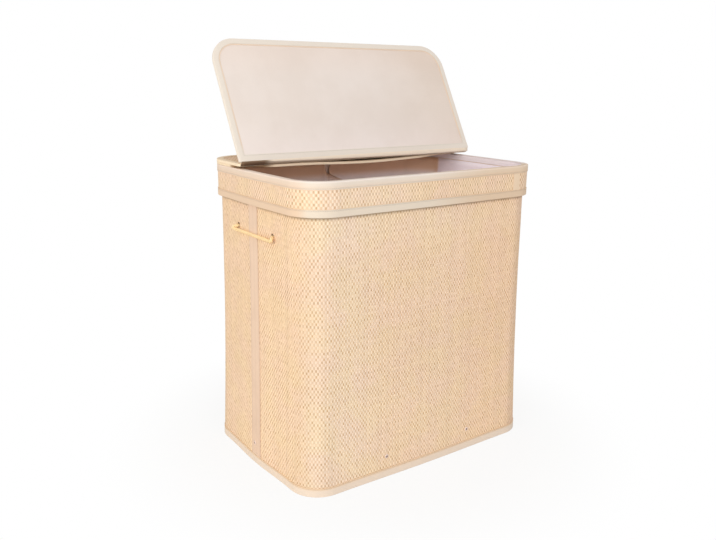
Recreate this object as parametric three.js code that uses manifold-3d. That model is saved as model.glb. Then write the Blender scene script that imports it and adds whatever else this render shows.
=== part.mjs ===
// A two-bin laundry hamper: board walls in woven paper cloth, two liner bags, and a lift-off lid whose front is a flap.
// Millimetres, +Z up, the origin at the middle of the base on the floor, the front towards -Y, the sides towards X.
import * as THREE from "three";
import { mergeVertices } from "three/addons/utils/BufferGeometryUtils.js";
import Module from "manifold-3d";

const wasm = await Module();
wasm.setup();

// Driving dimensions of the whole hamper
const rimHeight = 600;
const topWidth = 568;
const topDepth = 378;
const widthFlare = 14;
const depthFlare = 18;
const cornerRadius = 60;
const waistDraw = 3;
const sideBow = 5;
const frontBow = 3;
const rimBowShare = 0.4;
const baseWidth = topWidth + widthFlare;
const baseDepth = topDepth + depthFlare;

// Cloths, boards and the gaps between layers
const seat = 0.3;
const clothThickness = 1;
const liningThickness = 0.6;
const tapeThickness = 0.8;
const wallBoard = 2.4;
const skirtBoard = 1.8;
const panelBoard = 2;

// Edge tapes
const rimTape = 14;
const hemTape = 14;
const baseTape = 18;
const innerTape = 10;
const foldTapeWidth = 34;

// Walls: where the boards are parted so that the body can fold
const foldGap = 3;
const foldLineFromCorner = 12;

// Base
const floorPanel = 3;
const baseBoardThickness = 3;
const baseBoardMargin = 2;

// Rivets that hold the base to the walls
const rivetHead = 4.5;
const rivetHeadRise = 1.4;
const rivetShank = 1.6;
const rivetHole = 1.9;
const frontRivetFromSide = 183;
const rivetHeight = 44;

// Rope handles
const ropeRadius = 4;
const handleHole = 5.5;
const handleHoleSpacing = 137;
const handleBelowRim = 113;
const handleDrop = 8;
const handleStandOff = 11;
const handleOverhang = 12;
const handleTravel = 12;
const handleMouth = 1;
const knotRadius = 8;
const knotDepth = 8.5;

// Liner bags
const bagCloth = 1;
const bagTopDrop = 14;
const hookStripHeight = 12;
const bagShoulderRise = 45;
const bagNeckRise = 15;
const bagShoulderDraw = 3;
const bagBottomDraw = 4;
const bagFrontDraw = 9;
const dividerGap = 1.2;
const dividerDrop = 26;
const dividerSag = 16;
const hookStripEnd = 24;

// Lid: a skirt round the body, a fixed shelf and rear panel, and a hinged flap
const skirtHeight = 63;
const skirtClearance = 0.6;
const seamTapeWidth = 18;
const seamTapeFromCorner = 5;
const hingeLine = 37;
const hingeGap = 1.2;
const hingeFoldRadius = 0.9;
const shelfSetback = 3;
const rearPanelOverhang = 12;
const rearPanelInset = 5;
const rearPanelRadius = 72;
const squareCorner = 4;
const tightCorner = 0.5;
const flapSideLip = 1;
const flapFrontLip = 30.1;
const flapRadius = 54;
const flapOpenAngle = THREE.MathUtils.degToRad(118.5);

// Facets
const cornerSteps = 5;
const tightSteps = 2;
const wallSteps = 4;
const heightSteps = 5;
const roundSteps = 10;
const ropeSides = 8;
const handleSteps = 44;
const dividerSteps = 6;
const overrun = 20;
const weld = 0.001;

// Layers of the body wall, as insets from the outer face of its woven cover
const boardInset = clothThickness + seat;
const liningInset = boardInset + wallBoard + seat;
const innerInset = liningInset + liningThickness + seat;
const bagInset = innerInset + tapeThickness + seat;

// Layers of the skirt, outside the body's own edge tape
const skirtInnerTape = -(seat + tapeThickness + skirtClearance + tapeThickness);
const skirtLiningInset = skirtInnerTape - seat - liningThickness;
const skirtBoardInset = skirtLiningInset - seat - skirtBoard;
const skirtCoverInset = skirtBoardInset - seat - clothThickness;
const skirtOuterTape = skirtCoverInset - seat - tapeThickness;

// Heights of the stacked edges
const wallLow = tapeThickness + seat;
const lipUnder = rimHeight - tapeThickness;
const bodyRim = lipUnder - seat;
const wallTop = bodyRim - tapeThickness - seat;
const skirtTop = lipUnder - seat;
const skirtLow = rimHeight - skirtHeight;
const bagFloor = floorPanel + seat + baseBoardThickness + seat;

// Places and sizes that follow the body and its layers
const frontRivetPlace = baseWidth / 2 - frontRivetFromSide;
const handleHeight = rimHeight - handleBelowRim;
const bagTop = rimHeight - bagTopDrop;
const dividerTop = bagTop - dividerDrop;
const seamTapePlace = topWidth / 2 - cornerRadius - seamTapeFromCorner;
const rearPanelHalfWidth = topWidth / 2 + rearPanelOverhang;
const flapHalfWidth = rearPanelHalfWidth + flapSideLip;
const flapLength = hingeLine + topDepth / 2 - skirtOuterTape + flapFrontLip;

const colours = {
  weave: { color: 0xe8ca9f, roughness: 0.75, metalness: 0 },
  tape: { color: 0xe6dac6, roughness: 0.8, metalness: 0 },
  lining: { color: 0xe4d5d2, roughness: 0.9, metalness: 0 },
  flapLining: { color: 0xe8dccd, roughness: 0.85, metalness: 0 },
  board: { color: 0xcfc3ae, roughness: 0.9, metalness: 0 },
  rope: { color: 0xedc48b, roughness: 0.7, metalness: 0 },
  rivet: { color: 0xd8d2c6, roughness: 0.35, metalness: 0.8 },
};

const hamper = new THREE.Group();

function place(name, geometry, look, group = hamper) {
  const mesh = new THREE.Mesh(geometry, new THREE.MeshStandardMaterial(colours[look]));
  mesh.name = name;
  group.add(mesh);
}

// Joining and cutting closed solids
function toSolid(geometry) {
  const plain = geometry.clone();
  plain.deleteAttribute("normal");
  plain.deleteAttribute("uv");
  const merged = mergeVertices(plain, weld);
  const mesh = new wasm.Mesh({
    numProp: 3,
    vertProperties: merged.attributes.position.array,
    triVerts: new Uint32Array(merged.index.array),
  });
  return new wasm.Manifold(mesh);
}

function toGeometry(solid) {
  const mesh = solid.getMesh();
  const geometry = new THREE.BufferGeometry();
  geometry.setAttribute("position", new THREE.BufferAttribute(mesh.vertProperties, mesh.numProp));
  geometry.setIndex(new THREE.BufferAttribute(mesh.triVerts, 1));
  geometry.computeVertexNormals();
  return geometry;
}

function cut(solid, cutters) {
  return cutters.reduce((rest, cutter) => rest.subtract(toSolid(cutter)), solid);
}

// A box given by its lowest and highest corners
function box(low, high) {
  const size = [0, 1, 2].map((axis) => high[axis] - low[axis]);
  const middle = [0, 1, 2].map((axis) => (high[axis] + low[axis]) / 2);
  return new THREE.BoxGeometry(...size).translate(...middle);
}

// Half sizes and bows of the wall at a height. The walls taper, draw in at mid height and bow out between corners.
function stationAt(share) {
  const draw = waistDraw * Math.sin(Math.PI * share);
  const bowShare = THREE.MathUtils.lerp(1, rimBowShare, share * share);
  return {
    halfX: THREE.MathUtils.lerp(baseWidth, topWidth, share) / 2 - draw,
    halfY: THREE.MathUtils.lerp(baseDepth, topDepth, share) / 2 - draw,
    bowX: sideBow * bowShare,
    bowY: frontBow * bowShare,
  };
}

const stationHeights = Array.from({ length: heightSteps + 1 }, (_, step) => (rimHeight * step) / heightSteps);
const stations = stationHeights.map((height) => stationAt(height / rimHeight));

function wallSize(z) {
  const climb = THREE.MathUtils.clamp(z / rimHeight, 0, 1) * heightSteps;
  const below = Math.min(Math.floor(climb), heightSteps - 1);
  const share = climb - below;
  const size = {};
  for (const key of Object.keys(stations[below])) {
    size[key] = THREE.MathUtils.lerp(stations[below][key], stations[below + 1][key], share);
  }
  return size;
}

// An anticlockwise outline: four sides that may bow out, joined by round corners
function outline({ left, right, front, back, frontRadius, backRadius, bowX = 0, bowY = 0 }) {
  const corners = [
    { x: right - backRadius, y: back - backRadius, radius: backRadius, turn: 0 },
    { x: left + backRadius, y: back - backRadius, radius: backRadius, turn: Math.PI / 2 },
    { x: left + frontRadius, y: front + frontRadius, radius: frontRadius, turn: Math.PI },
    { x: right - frontRadius, y: front + frontRadius, radius: frontRadius, turn: (Math.PI * 3) / 2 },
  ];
  const points = [];
  corners.forEach((corner, index) => {
    const steps = corner.radius > squareCorner ? cornerSteps : tightSteps;
    for (let step = 0; step <= steps; step += 1) {
      const angle = corner.turn + (Math.PI / 2) * (step / steps);
      points.push(
        new THREE.Vector2(corner.x + corner.radius * Math.cos(angle), corner.y + corner.radius * Math.sin(angle)),
      );
    }
    const start = points[points.length - 1];
    const next = corners[(index + 1) % corners.length];
    const end = new THREE.Vector2(
      next.x + next.radius * Math.cos(next.turn),
      next.y + next.radius * Math.sin(next.turn),
    );
    const normal = new THREE.Vector2(end.y - start.y, start.x - end.x).normalize();
    const bow = Math.abs(normal.x) > Math.abs(normal.y) ? bowX : bowY;
    for (let step = 1; step < wallSteps && bow > 0; step += 1) {
      const share = step / wallSteps;
      const out = bow * Math.sin(Math.PI * share) ** 2;
      points.push(start.clone().lerp(end, share).addScaledVector(normal, out));
    }
  });
  return points;
}

// The wall's outline at a height, moved in by an inset, which may differ from front to side
function wallRing(inset, z, frontInset = inset) {
  const { halfX, halfY, bowX, bowY } = wallSize(z);
  const radius = cornerRadius - Math.min(inset, frontInset);
  return outline({
    left: inset - halfX,
    right: halfX - inset,
    front: frontInset - halfY,
    back: halfY - frontInset,
    frontRadius: radius,
    backRadius: radius,
    bowX,
    bowY,
  });
}

// A closed ring: each point [inset, z] of the profile becomes an outline, and neighbours are joined by facets
function ringSolid(profile, ringAt = wallRing) {
  const path = THREE.ShapeUtils.isClockWise(profile.map(([x, y]) => ({ x, y }))) ? profile : [...profile].reverse();
  const rings = path.map(([inset, z]) => ringAt(inset, z).map((point) => [point.x, point.y, z]));
  return joinRings([...rings, rings[0]]);
}

// A closed solid: the outlines are stacked upwards and the first and last are filled
function stackSolid(rings) {
  const flat = rings[0].map(([x, y]) => new THREE.Vector2(x, y));
  const faces = THREE.ShapeUtils.triangulateShape(flat, []);
  const cap = (ring, turned) => faces.flatMap((face) => (turned ? [...face].reverse() : face).flatMap((at) => ring[at]));
  const sides = joinRings(rings).getAttribute("position").array;
  const positions = [...sides, ...cap(rings[0], true), ...cap(rings[rings.length - 1], false)];
  const geometry = new THREE.BufferGeometry();
  geometry.setAttribute("position", new THREE.Float32BufferAttribute(positions, 3));
  return geometry;
}

function joinRings(rings) {
  const positions = [];
  for (let level = 0; level + 1 < rings.length; level += 1) {
    const low = rings[level];
    const high = rings[level + 1];
    low.forEach((corner, at) => {
      const next = (at + 1) % low.length;
      positions.push(...corner, ...low[next], ...high[next]);
      positions.push(...corner, ...high[next], ...high[at]);
    });
  }
  const geometry = new THREE.BufferGeometry();
  geometry.setAttribute("position", new THREE.Float32BufferAttribute(positions, 3));
  return geometry;
}

function weldGeometry(geometry) {
  return mergeVertices(geometry, weld);
}

function heightsBetween(low, high) {
  return [low, ...stationHeights.filter((height) => height > low && height < high), high];
}

// A skin of the wall from one height to another
function wallSkin(inset, thickness, low, high) {
  const heights = heightsBetween(low, high);
  const outer = heights.map((z) => [inset, z]);
  const inner = heights.map((z) => [inset + thickness, z]).reverse();
  return toSolid(ringSolid([...outer, ...inner]));
}

// A tape folded over an edge: legs on both faces of a stack and a bridge past its end
function foldedTape({ outer, inner, edge, outerLeg, innerLeg }) {
  const fold = edge + Math.sign(edge - outerLeg) * tapeThickness;
  return [
    [outer, outerLeg],
    [outer, fold],
    [inner, fold],
    [inner, innerLeg],
    [inner - tapeThickness, innerLeg],
    [inner - tapeThickness, edge],
    [outer + tapeThickness, edge],
    [outer + tapeThickness, outerLeg],
  ];
}

// The wall's outer face beside a height and a place along the side
function sideFace(y, z, inset = 0) {
  const { halfX, halfY, bowX } = wallSize(z);
  const run = halfY - cornerRadius;
  return halfX - inset + bowX * Math.cos((Math.PI / 2) * (y / run)) ** 2;
}

function frontFace(x, z) {
  const { halfX, halfY, bowY } = wallSize(z);
  const run = halfX - cornerRadius;
  return halfY + bowY * Math.cos((Math.PI / 2) * (x / run)) ** 2;
}

const sides = [
  { name: "left", sign: -1 },
  { name: "right", sign: 1 },
];

// Holes through the wall, for the ropes and the rivets
function handleHoles() {
  return sides.flatMap(({ sign }) =>
    [-1, 1].map((end) =>
      new THREE.CylinderGeometry(handleHole, handleHole, 2 * overrun, roundSteps)
        .rotateZ(Math.PI / 2)
        .translate(sign * topWidth / 2, (end * handleHoleSpacing) / 2, handleHeight + handleHole - ropeRadius - seat),
    ),
  );
}

function rivetPlaces() {
  const places = [];
  for (const { name, sign } of sides) {
    const x = sign * frontRivetPlace;
    const y = frontFace(x, rivetHeight);
    places.push({ name: `front_${name}_rivet`, x, y: -y, turn: -Math.PI / 2, backing: 0 });
    places.push({ name: `back_${name}_rivet`, x, y, turn: Math.PI / 2, backing: 0 });
    const backing = seat + tapeThickness;
    const side = sign * (sideFace(0, rivetHeight) + backing);
    places.push({ name: `${name}_rivet`, x: side, y: 0, turn: sign < 0 ? Math.PI : 0, backing });
  }
  return places;
}

function rivetHoles() {
  return rivetPlaces().map(({ x, y, turn }) =>
    new THREE.CylinderGeometry(rivetHole, rivetHole, 2 * overrun, roundSteps)
      .rotateZ(Math.PI / 2)
      .rotateZ(turn)
      .translate(x, y, rivetHeight),
  );
}

// The woven cover, the fold tapes outside it and the lining inside
function addWallSkins() {
  const holes = [...handleHoles(), ...rivetHoles()];
  place("body_cover", toGeometry(cut(wallSkin(0, clothThickness, wallLow, wallTop), holes)), "weave");
  place("body_lining", toGeometry(cut(wallSkin(liningInset, liningThickness, wallLow, wallTop), holes)), "lining");
  for (const { name, sign } of sides) {
    const ring = wallSkin(-seat - tapeThickness, tapeThickness, baseTape + seat, wallTop - rimTape);
    const reach = box(
      [Math.min(0, sign * baseWidth), -foldTapeWidth / 2, -overrun],
      [Math.max(0, sign * baseWidth), foldTapeWidth / 2, rimHeight],
    );
    const tape = cut(ring.intersect(toSolid(reach)), rivetHoles());
    place(`${name}_fold_tape`, toGeometry(tape), "tape");
  }
}

// Ten boards stiffen the walls: front, back, a bent one round each corner, and two for each side that meet at its fold
function addWallBoards() {
  const ring = cut(wallSkin(boardInset, wallBoard, wallLow, wallTop), [...handleHoles(), ...rivetHoles()]);
  const cornerFold = topDepth / 2 - cornerRadius - foldLineFromCorner;
  const cornerJoint = topWidth / 2 - cornerRadius;
  const reach = baseWidth;
  const half = foldGap / 2;
  const joint = seat / 2;
  const regions = {
    front_board: [[joint - cornerJoint, -reach], [cornerJoint - joint, -cornerFold]],
    front_left_corner_board: [[-reach, -reach], [-cornerJoint - joint, -cornerFold - half]],
    front_right_corner_board: [[cornerJoint + joint, -reach], [reach, -cornerFold - half]],
    back_board: [[joint - cornerJoint, cornerFold], [cornerJoint - joint, reach]],
    back_left_corner_board: [[-reach, cornerFold + half], [-cornerJoint - joint, reach]],
    back_right_corner_board: [[cornerJoint + joint, cornerFold + half], [reach, reach]],
    left_front_board: [[-reach, half - cornerFold], [0, -half]],
    left_rear_board: [[-reach, half], [0, cornerFold - half]],
    right_front_board: [[0, half - cornerFold], [reach, -half]],
    right_rear_board: [[0, half], [reach, cornerFold - half]],
  };
  for (const [name, [low, high]] of Object.entries(regions)) {
    const region = toSolid(box([...low, -overrun], [...high, rimHeight]));
    place(name, toGeometry(ring.intersect(region)), "board");
  }
}

function addWallTapes() {
  const bottom = foldedTape({
    outer: -seat - tapeThickness,
    inner: innerInset + tapeThickness,
    edge: tapeThickness,
    outerLeg: baseTape,
    innerLeg: baseTape,
  });
  place("body_bottom_binding", weldGeometry(ringSolid(bottom)), "tape");
  const top = foldedTape({
    outer: -seat - tapeThickness,
    inner: innerInset + tapeThickness,
    edge: bodyRim - tapeThickness,
    outerLeg: wallTop - rimTape + seat,
    innerLeg: wallTop - innerTape,
  });
  place("body_top_binding", weldGeometry(ringSolid(top)), "tape");
}

// The floor panel inside the bottom edge tape, and the loose base board that lies on it
function addBase() {
  const floorInset = innerInset + tapeThickness + seat;
  const boardInsetHere = floorInset + baseBoardMargin;
  const slab = (inset, low, high) => {
    const ring = (z) => wallRing(inset, low).map((point) => [point.x, point.y, z]);
    return weldGeometry(stackSolid([ring(low), ring(high)]));
  };
  const boardLow = floorPanel + seat;
  place("floor_panel", slab(floorInset, 0, floorPanel), "lining");
  place("base_board", slab(boardInsetHere, boardLow, boardLow + baseBoardThickness), "board");
}

// Each rivet has a domed head outside, a shank through the layers and a flat head inside
function addRivets() {
  for (const { name, x, y, turn, backing } of rivetPlaces()) {
    const depth = innerInset + backing;
    const profile = [
      new THREE.Vector2(0, -depth - rivetHeadRise),
      new THREE.Vector2(rivetHead, -depth - rivetHeadRise),
      new THREE.Vector2(rivetHead, -depth),
      new THREE.Vector2(rivetShank, -depth),
      new THREE.Vector2(rivetShank, seat),
      new THREE.Vector2(rivetHead, seat),
      new THREE.Vector2(rivetHead * Math.SQRT1_2, seat + rivetHeadRise * Math.SQRT1_2),
      new THREE.Vector2(0, seat + rivetHeadRise),
    ];
    const rivet = new THREE.LatheGeometry(profile, roundSteps).rotateZ(-Math.PI / 2).rotateZ(turn);
    place(name, rivet.translate(x, y, rivetHeight), "rivet");
  }
}

// How far a bag hangs in from the wall: close below its hooked rim, and clear of the rope knots from its neck down
const knotRoom = innerInset + handleTravel + knotDepth + seat;
const bagSteps = [
  { z: bagFloor, side: knotRoom + bagBottomDraw, front: bagInset + bagFrontDraw + bagBottomDraw },
  { z: handleHeight + bagNeckRise, side: knotRoom, front: bagInset + bagFrontDraw },
  { z: handleHeight + bagShoulderRise, side: bagInset + bagShoulderDraw, front: bagInset + bagShoulderDraw },
  { z: bagTop - hookStripHeight, side: bagInset, front: bagInset },
  { z: rimHeight + overrun, side: bagInset, front: bagInset },
];

function bagDraw(z) {
  const above = Math.max(1, bagSteps.findIndex((step) => step.z >= z));
  const high = bagSteps[above];
  const low = bagSteps[above - 1];
  const share = (z - low.z) / (high.z - low.z);
  return {
    side: THREE.MathUtils.lerp(low.side, high.side, share),
    front: THREE.MathUtils.lerp(low.front, high.front, share),
  };
}

// The space of both bags together, from a height up, moved in by a wall
function bagSpace(wall, low, high) {
  const bends = bagSteps.map((step) => step.z).filter((z) => z > low && z < high);
  const heights = [low, ...bends, high];
  const rings = heights.map((z) => {
    const draw = bagDraw(z);
    return wallRing(draw.side + wall, z, draw.front + wall).map((point) => [point.x, point.y, z]);
  });
  return toSolid(stackSolid(rings));
}

// The space above the divider's sagging edge
function dividerCut() {
  const reach = baseDepth / 2;
  const shape = new THREE.Shape();
  shape.moveTo(-reach, dividerTop);
  shape.quadraticCurveTo(0, dividerTop - 2 * dividerSag, reach, dividerTop);
  shape.lineTo(reach, rimHeight);
  shape.lineTo(-reach, rimHeight);
  const width = 2 * (dividerGap + bagCloth + overrun);
  const basis = new THREE.Matrix4().makeBasis(
    new THREE.Vector3(0, 1, 0),
    new THREE.Vector3(0, 0, 1),
    new THREE.Vector3(1, 0, 0),
  );
  const geometry = new THREE.ExtrudeGeometry(shape, { depth: width, bevelEnabled: false, curveSegments: dividerSteps });
  return toSolid(geometry.translate(0, 0, -width / 2).applyMatrix4(basis));
}

// Two bags side by side: their inner walls make the divider, lower than the rim and sagging in the middle
function addBags() {
  const outside = bagSpace(0, bagFloor, bagTop);
  const inside = bagSpace(bagCloth, bagFloor + bagCloth, bagTop + overrun);
  const above = inside.intersect(dividerCut());
  const strip = wallSkin(innerInset, tapeThickness, bagTop - hookStripHeight, bagTop);
  for (const { name, sign } of sides) {
    const half = (from) => {
      const reach = sign * baseWidth;
      const low = [Math.min(sign * from, reach), -baseDepth, -overrun];
      return toSolid(box(low, [Math.max(sign * from, reach), baseDepth, rimHeight + overrun]));
    };
    const edge = dividerGap / 2;
    const bag = outside
      .intersect(half(edge))
      .subtract(inside.intersect(half(edge + bagCloth)))
      .subtract(above);
    place(`${name}_liner_bag`, toGeometry(bag), "lining");
    place(`${name}_hook_strip`, toGeometry(strip.intersect(half(hookStripEnd))), "tape");
  }
}

// A rope handle: a bar outside, two legs through the wall and a knot on each end, with slack to pull out
function addHandles() {
  const hole = handleHoleSpacing / 2;
  const face = sideFace(hole, handleHeight);
  const knot = face - innerInset - handleTravel - knotDepth / 2;
  const section = new THREE.Shape().absarc(0, 0, ropeRadius, 0, 2 * Math.PI);
  for (const { name, sign } of sides) {
    const at = (x, y, drop) => new THREE.Vector3(sign * x, y, handleHeight - drop);
    const bend = (end) => [
      at(face + handleMouth, end * hole, 0),
      at(face + handleStandOff, end * hole, 0),
      at(face + handleStandOff, end * (hole + handleOverhang), handleDrop),
      at(face + handleStandOff, end * (hole - handleOverhang), handleDrop),
    ];
    const path = new THREE.CurvePath();
    const first = bend(-1);
    const last = bend(1);
    path.add(new THREE.LineCurve3(at(knot, -hole, 0), first[0]));
    path.add(new THREE.CubicBezierCurve3(...first));
    path.add(new THREE.LineCurve3(first[3], last[3]));
    path.add(new THREE.CubicBezierCurve3(...last.reverse()));
    path.add(new THREE.LineCurve3(last[3], at(knot, hole, 0)));
    const rope = new THREE.ExtrudeGeometry(section, {
      steps: handleSteps,
      extrudePath: path,
      curveSegments: ropeSides / 2,
    });
    const knots = [-1, 1].map((end) =>
      toSolid(
        new THREE.SphereGeometry(knotRadius, roundSteps, roundSteps / 2)
          .scale(knotDepth / (2 * knotRadius), 1, 1)
          .translate(sign * knot, end * hole, handleHeight),
      ),
    );
    place(`${name}_handle`, toGeometry(toSolid(rope).add(knots[0]).add(knots[1])), "rope");
  }
}

// The lid's skirt: cover, board and lining between two edge tapes. The upper tape lies on the body's rim as a lip.
function addSkirt() {
  const low = skirtLow + tapeThickness + seat;
  const skin = (inset, thickness) => toGeometry(wallSkin(inset, thickness, low, skirtTop));
  place("lid_skirt_cover", skin(skirtCoverInset, clothThickness), "weave");
  place("lid_skirt_board", skin(skirtBoardInset, skirtBoard), "board");
  place("lid_skirt_lining", skin(skirtLiningInset, liningThickness), "lining");
  const lower = foldedTape({
    outer: skirtOuterTape,
    inner: skirtInnerTape + tapeThickness,
    edge: skirtLow + tapeThickness,
    outerLeg: skirtLow + hemTape,
    innerLeg: skirtLow + innerTape,
  });
  place("lid_lower_binding", weldGeometry(ringSolid(lower)), "tape");
  const lip = innerInset + tapeThickness;
  const rim = [
    [skirtOuterTape, rimHeight - rimTape],
    [skirtOuterTape, rimHeight],
    [lip, rimHeight],
    [lip, lipUnder],
    [skirtOuterTape + tapeThickness, lipUnder],
    [skirtOuterTape + tapeThickness, rimHeight - rimTape],
  ];
  place("lid_rim_binding", weldGeometry(ringSolid(rim)), "tape");
  const ring = wallSkin(skirtOuterTape, tapeThickness, skirtLow + hemTape + seat, rimHeight - rimTape - seat);
  const reach = box(
    [seamTapePlace - seamTapeWidth / 2, -baseDepth, 0],
    [seamTapePlace + seamTapeWidth / 2, 0, rimHeight],
  );
  place("skirt_seam_tape", toGeometry(ring.intersect(toSolid(reach))), "tape");
}

// A flat panel: layers from the bottom up inside an edge tape that is folded over all its edges
function panelThickness(layers) {
  return layers.reduce((sum, layer) => sum + layer.thickness + seat, 2 * tapeThickness + seat);
}

function addPanel(shape, bottom, layers, bindingName, group) {
  const ringAt = (inset) =>
    outline({
      left: shape.left + inset,
      right: shape.right - inset,
      front: shape.front + inset,
      back: shape.back - inset,
      frontRadius: Math.max(shape.frontRadius - inset, tightCorner),
      backRadius: Math.max(shape.backRadius - inset, tightCorner),
    });
  let height = bottom + tapeThickness + seat;
  for (const { name, thickness, look } of layers) {
    const ring = (z) => ringAt(tapeThickness + seat).map((point) => [point.x, point.y, z]);
    place(name, weldGeometry(stackSolid([ring(height), ring(height + thickness)])), look, group);
    height += thickness + seat;
  }
  const top = height + tapeThickness;
  const profile = [
    [0, bottom],
    [rimTape, bottom],
    [rimTape, bottom + tapeThickness],
    [tapeThickness, bottom + tapeThickness],
    [tapeThickness, top - tapeThickness],
    [rimTape, top - tapeThickness],
    [rimTape, top],
    [0, top],
  ];
  place(bindingName, weldGeometry(ringSolid(profile, ringAt)), "tape", group);
}

const shelfLayers = [
  { name: "lid_shelf_lining", thickness: liningThickness, look: "lining" },
  { name: "lid_shelf_board", thickness: panelBoard, look: "board" },
];
const rearLayers = [
  { name: "rear_panel_board", thickness: panelBoard, look: "board" },
  { name: "rear_panel_cover", thickness: clothThickness, look: "weave" },
];
const flapLayers = [
  { name: "flap_lining", thickness: liningThickness, look: "flapLining" },
  { name: "flap_board", thickness: panelBoard, look: "board" },
  { name: "flap_cover", thickness: clothThickness, look: "weave" },
];

// The lid's top: a fixed shelf on the rim, the rear panel on the shelf, and the flap hinged to the rear panel
function addLidTop() {
  const rim = wallSize(rimHeight);
  const shelfLow = rimHeight + seat;
  const shelf = {
    left: skirtOuterTape - rim.halfX,
    right: rim.halfX - skirtOuterTape,
    front: hingeLine + shelfSetback,
    back: rim.halfY - skirtOuterTape,
    frontRadius: squareCorner,
    backRadius: cornerRadius - skirtOuterTape,
  };
  addPanel(shelf, shelfLow, shelfLayers, "lid_shelf_binding", hamper);
  const rearLow = shelfLow + panelThickness(shelfLayers) + seat;
  const rear = {
    left: -rearPanelHalfWidth,
    right: rearPanelHalfWidth,
    front: hingeLine + hingeGap,
    back: shelf.back - rearPanelInset,
    frontRadius: squareCorner,
    backRadius: rearPanelRadius,
  };
  addPanel(rear, rearLow, rearLayers, "rear_panel_binding", hamper);

  const hingeHeight = rearLow + panelThickness(rearLayers) + seat;
  const fold = new THREE.CylinderGeometry(hingeFoldRadius, hingeFoldRadius, 2 * rearPanelHalfWidth, ropeSides);
  fold.rotateZ(Math.PI / 2).translate(0, hingeLine, hingeHeight);
  place("lid_hinge_fold", fold, "weave");

  const flap = new THREE.Group();
  flap.position.set(0, hingeLine, hingeHeight);
  flap.rotation.x = -flapOpenAngle;
  hamper.add(flap);
  const flapShape = {
    left: -flapHalfWidth,
    right: flapHalfWidth,
    front: -flapLength,
    back: -hingeGap,
    frontRadius: flapRadius,
    backRadius: squareCorner,
  };
  addPanel(flapShape, -seat - panelThickness(flapLayers), flapLayers, "flap_binding", flap);
}

addWallSkins();
addWallBoards();
addWallTapes();
addBase();
addRivets();
addBags();
addHandles();
addSkirt();
addLidTop();

export default hamper;
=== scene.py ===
import math

import bmesh
import bpy
import numpy as np
from mathutils import Matrix, Vector, noise


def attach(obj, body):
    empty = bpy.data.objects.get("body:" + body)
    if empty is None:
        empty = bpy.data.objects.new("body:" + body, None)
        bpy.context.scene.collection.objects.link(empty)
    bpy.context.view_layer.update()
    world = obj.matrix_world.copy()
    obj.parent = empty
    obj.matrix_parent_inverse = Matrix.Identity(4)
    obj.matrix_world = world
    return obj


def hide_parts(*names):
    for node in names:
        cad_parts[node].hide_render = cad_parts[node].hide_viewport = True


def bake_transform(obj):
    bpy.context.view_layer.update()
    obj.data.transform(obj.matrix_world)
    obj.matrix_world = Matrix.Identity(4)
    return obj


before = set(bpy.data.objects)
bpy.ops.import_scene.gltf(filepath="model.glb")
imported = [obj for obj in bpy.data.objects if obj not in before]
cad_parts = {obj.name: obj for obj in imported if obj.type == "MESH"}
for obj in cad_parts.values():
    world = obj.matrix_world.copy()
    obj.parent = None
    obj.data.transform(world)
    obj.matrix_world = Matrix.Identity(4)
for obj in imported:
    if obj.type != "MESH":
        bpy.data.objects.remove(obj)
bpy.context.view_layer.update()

MM = 0.001

# The hamper's sizes, the same as the solids'
RIM = 600 * MM
TOP_HALF = (284 * MM, 189 * MM)
BASE_HALF = (291 * MM, 198 * MM)
CORNER = 60 * MM
WAIST = 3 * MM
SIDE_BOW = 5 * MM
FRONT_BOW = 3 * MM
RIM_BOW_SHARE = 0.4
WALL_LOW = 1.1 * MM
WALL_HIGH = 597.8 * MM

HINGE = Vector((0, 37 * MM, 611.5 * MM))
FLAP_OPEN = math.radians(118.5)
HOLE_Y = 68.5 * MM
HANDLE_Z = 487 * MM
HANDLE_HOLE = 5.5 * MM
RIVET_X = 108 * MM
RIVET_Z = 44 * MM
RIVET_ON_TAPE = 1.45 * MM
RIVET_ON_CLOTH = 0.5 * MM
SEAM_X = 219 * MM
FOLD_CREASE_Y = 117 * MM
FOLD_TAPE_WIDTH = 34 * MM
FOLD_TAPE_SLANT = 5 * MM
FOLD_TAPE_SPAN = (18.3 * MM, 583.8 * MM)
FOLD_TAPE_SEAM = 2.4 * MM
TAPE_SEAM = 2.0 * MM
TAPE_THICKNESS = 0.8 * MM
TAPE_EDGE = 0.2 * MM
LINING_THICKNESS = 0.6 * MM

# Where the glued cloth ripples: below this height, and how its noise is wrapped round the wall
RIPPLE_TOP = 530 * MM
RIPPLE_RADIUS = 290 * MM

# Columns of the grids that follow the wall, and the number of the stretch that is the front
SIDE_COLUMNS = 64
FRONT_COLUMNS = 112
CORNER_COLUMNS = 22
FRONT_STRETCH = 6


# The walls' outline
def lerp(low, high, share):
    return low + (high - low) * share


def smooth(share):
    share = np.clip(share, 0.0, 1.0)
    return share * share * (3 - 2 * share)


def wall_size(z):
    """Half sizes and bows of the wall at a height."""
    share = min(max(z / RIM, 0.0), 1.0)
    draw = WAIST * math.sin(math.pi * share)
    bow = lerp(1.0, RIM_BOW_SHARE, share * share)
    half_x = lerp(BASE_HALF[0], TOP_HALF[0], share) - draw
    half_y = lerp(BASE_HALF[1], TOP_HALF[1], share) - draw
    return half_x, half_y, SIDE_BOW * bow, FRONT_BOW * bow


def column_marks():
    """Which stretch of the outline each column is on, and its share along that stretch."""
    kinds, shares = [], []
    for stretch in range(8):
        columns = CORNER_COLUMNS if stretch % 2 else (FRONT_COLUMNS if stretch % 4 else SIDE_COLUMNS)
        for step in range(columns):
            kinds.append(stretch)
            shares.append(step / columns)
    middle = SIDE_COLUMNS // 2
    return np.roll(kinds, -middle), np.roll(shares, -middle)


KINDS, SHARES = column_marks()
COLUMNS = len(KINDS)
FRONT_FIRST = int(np.argmax(KINDS == FRONT_STRETCH))
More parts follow.
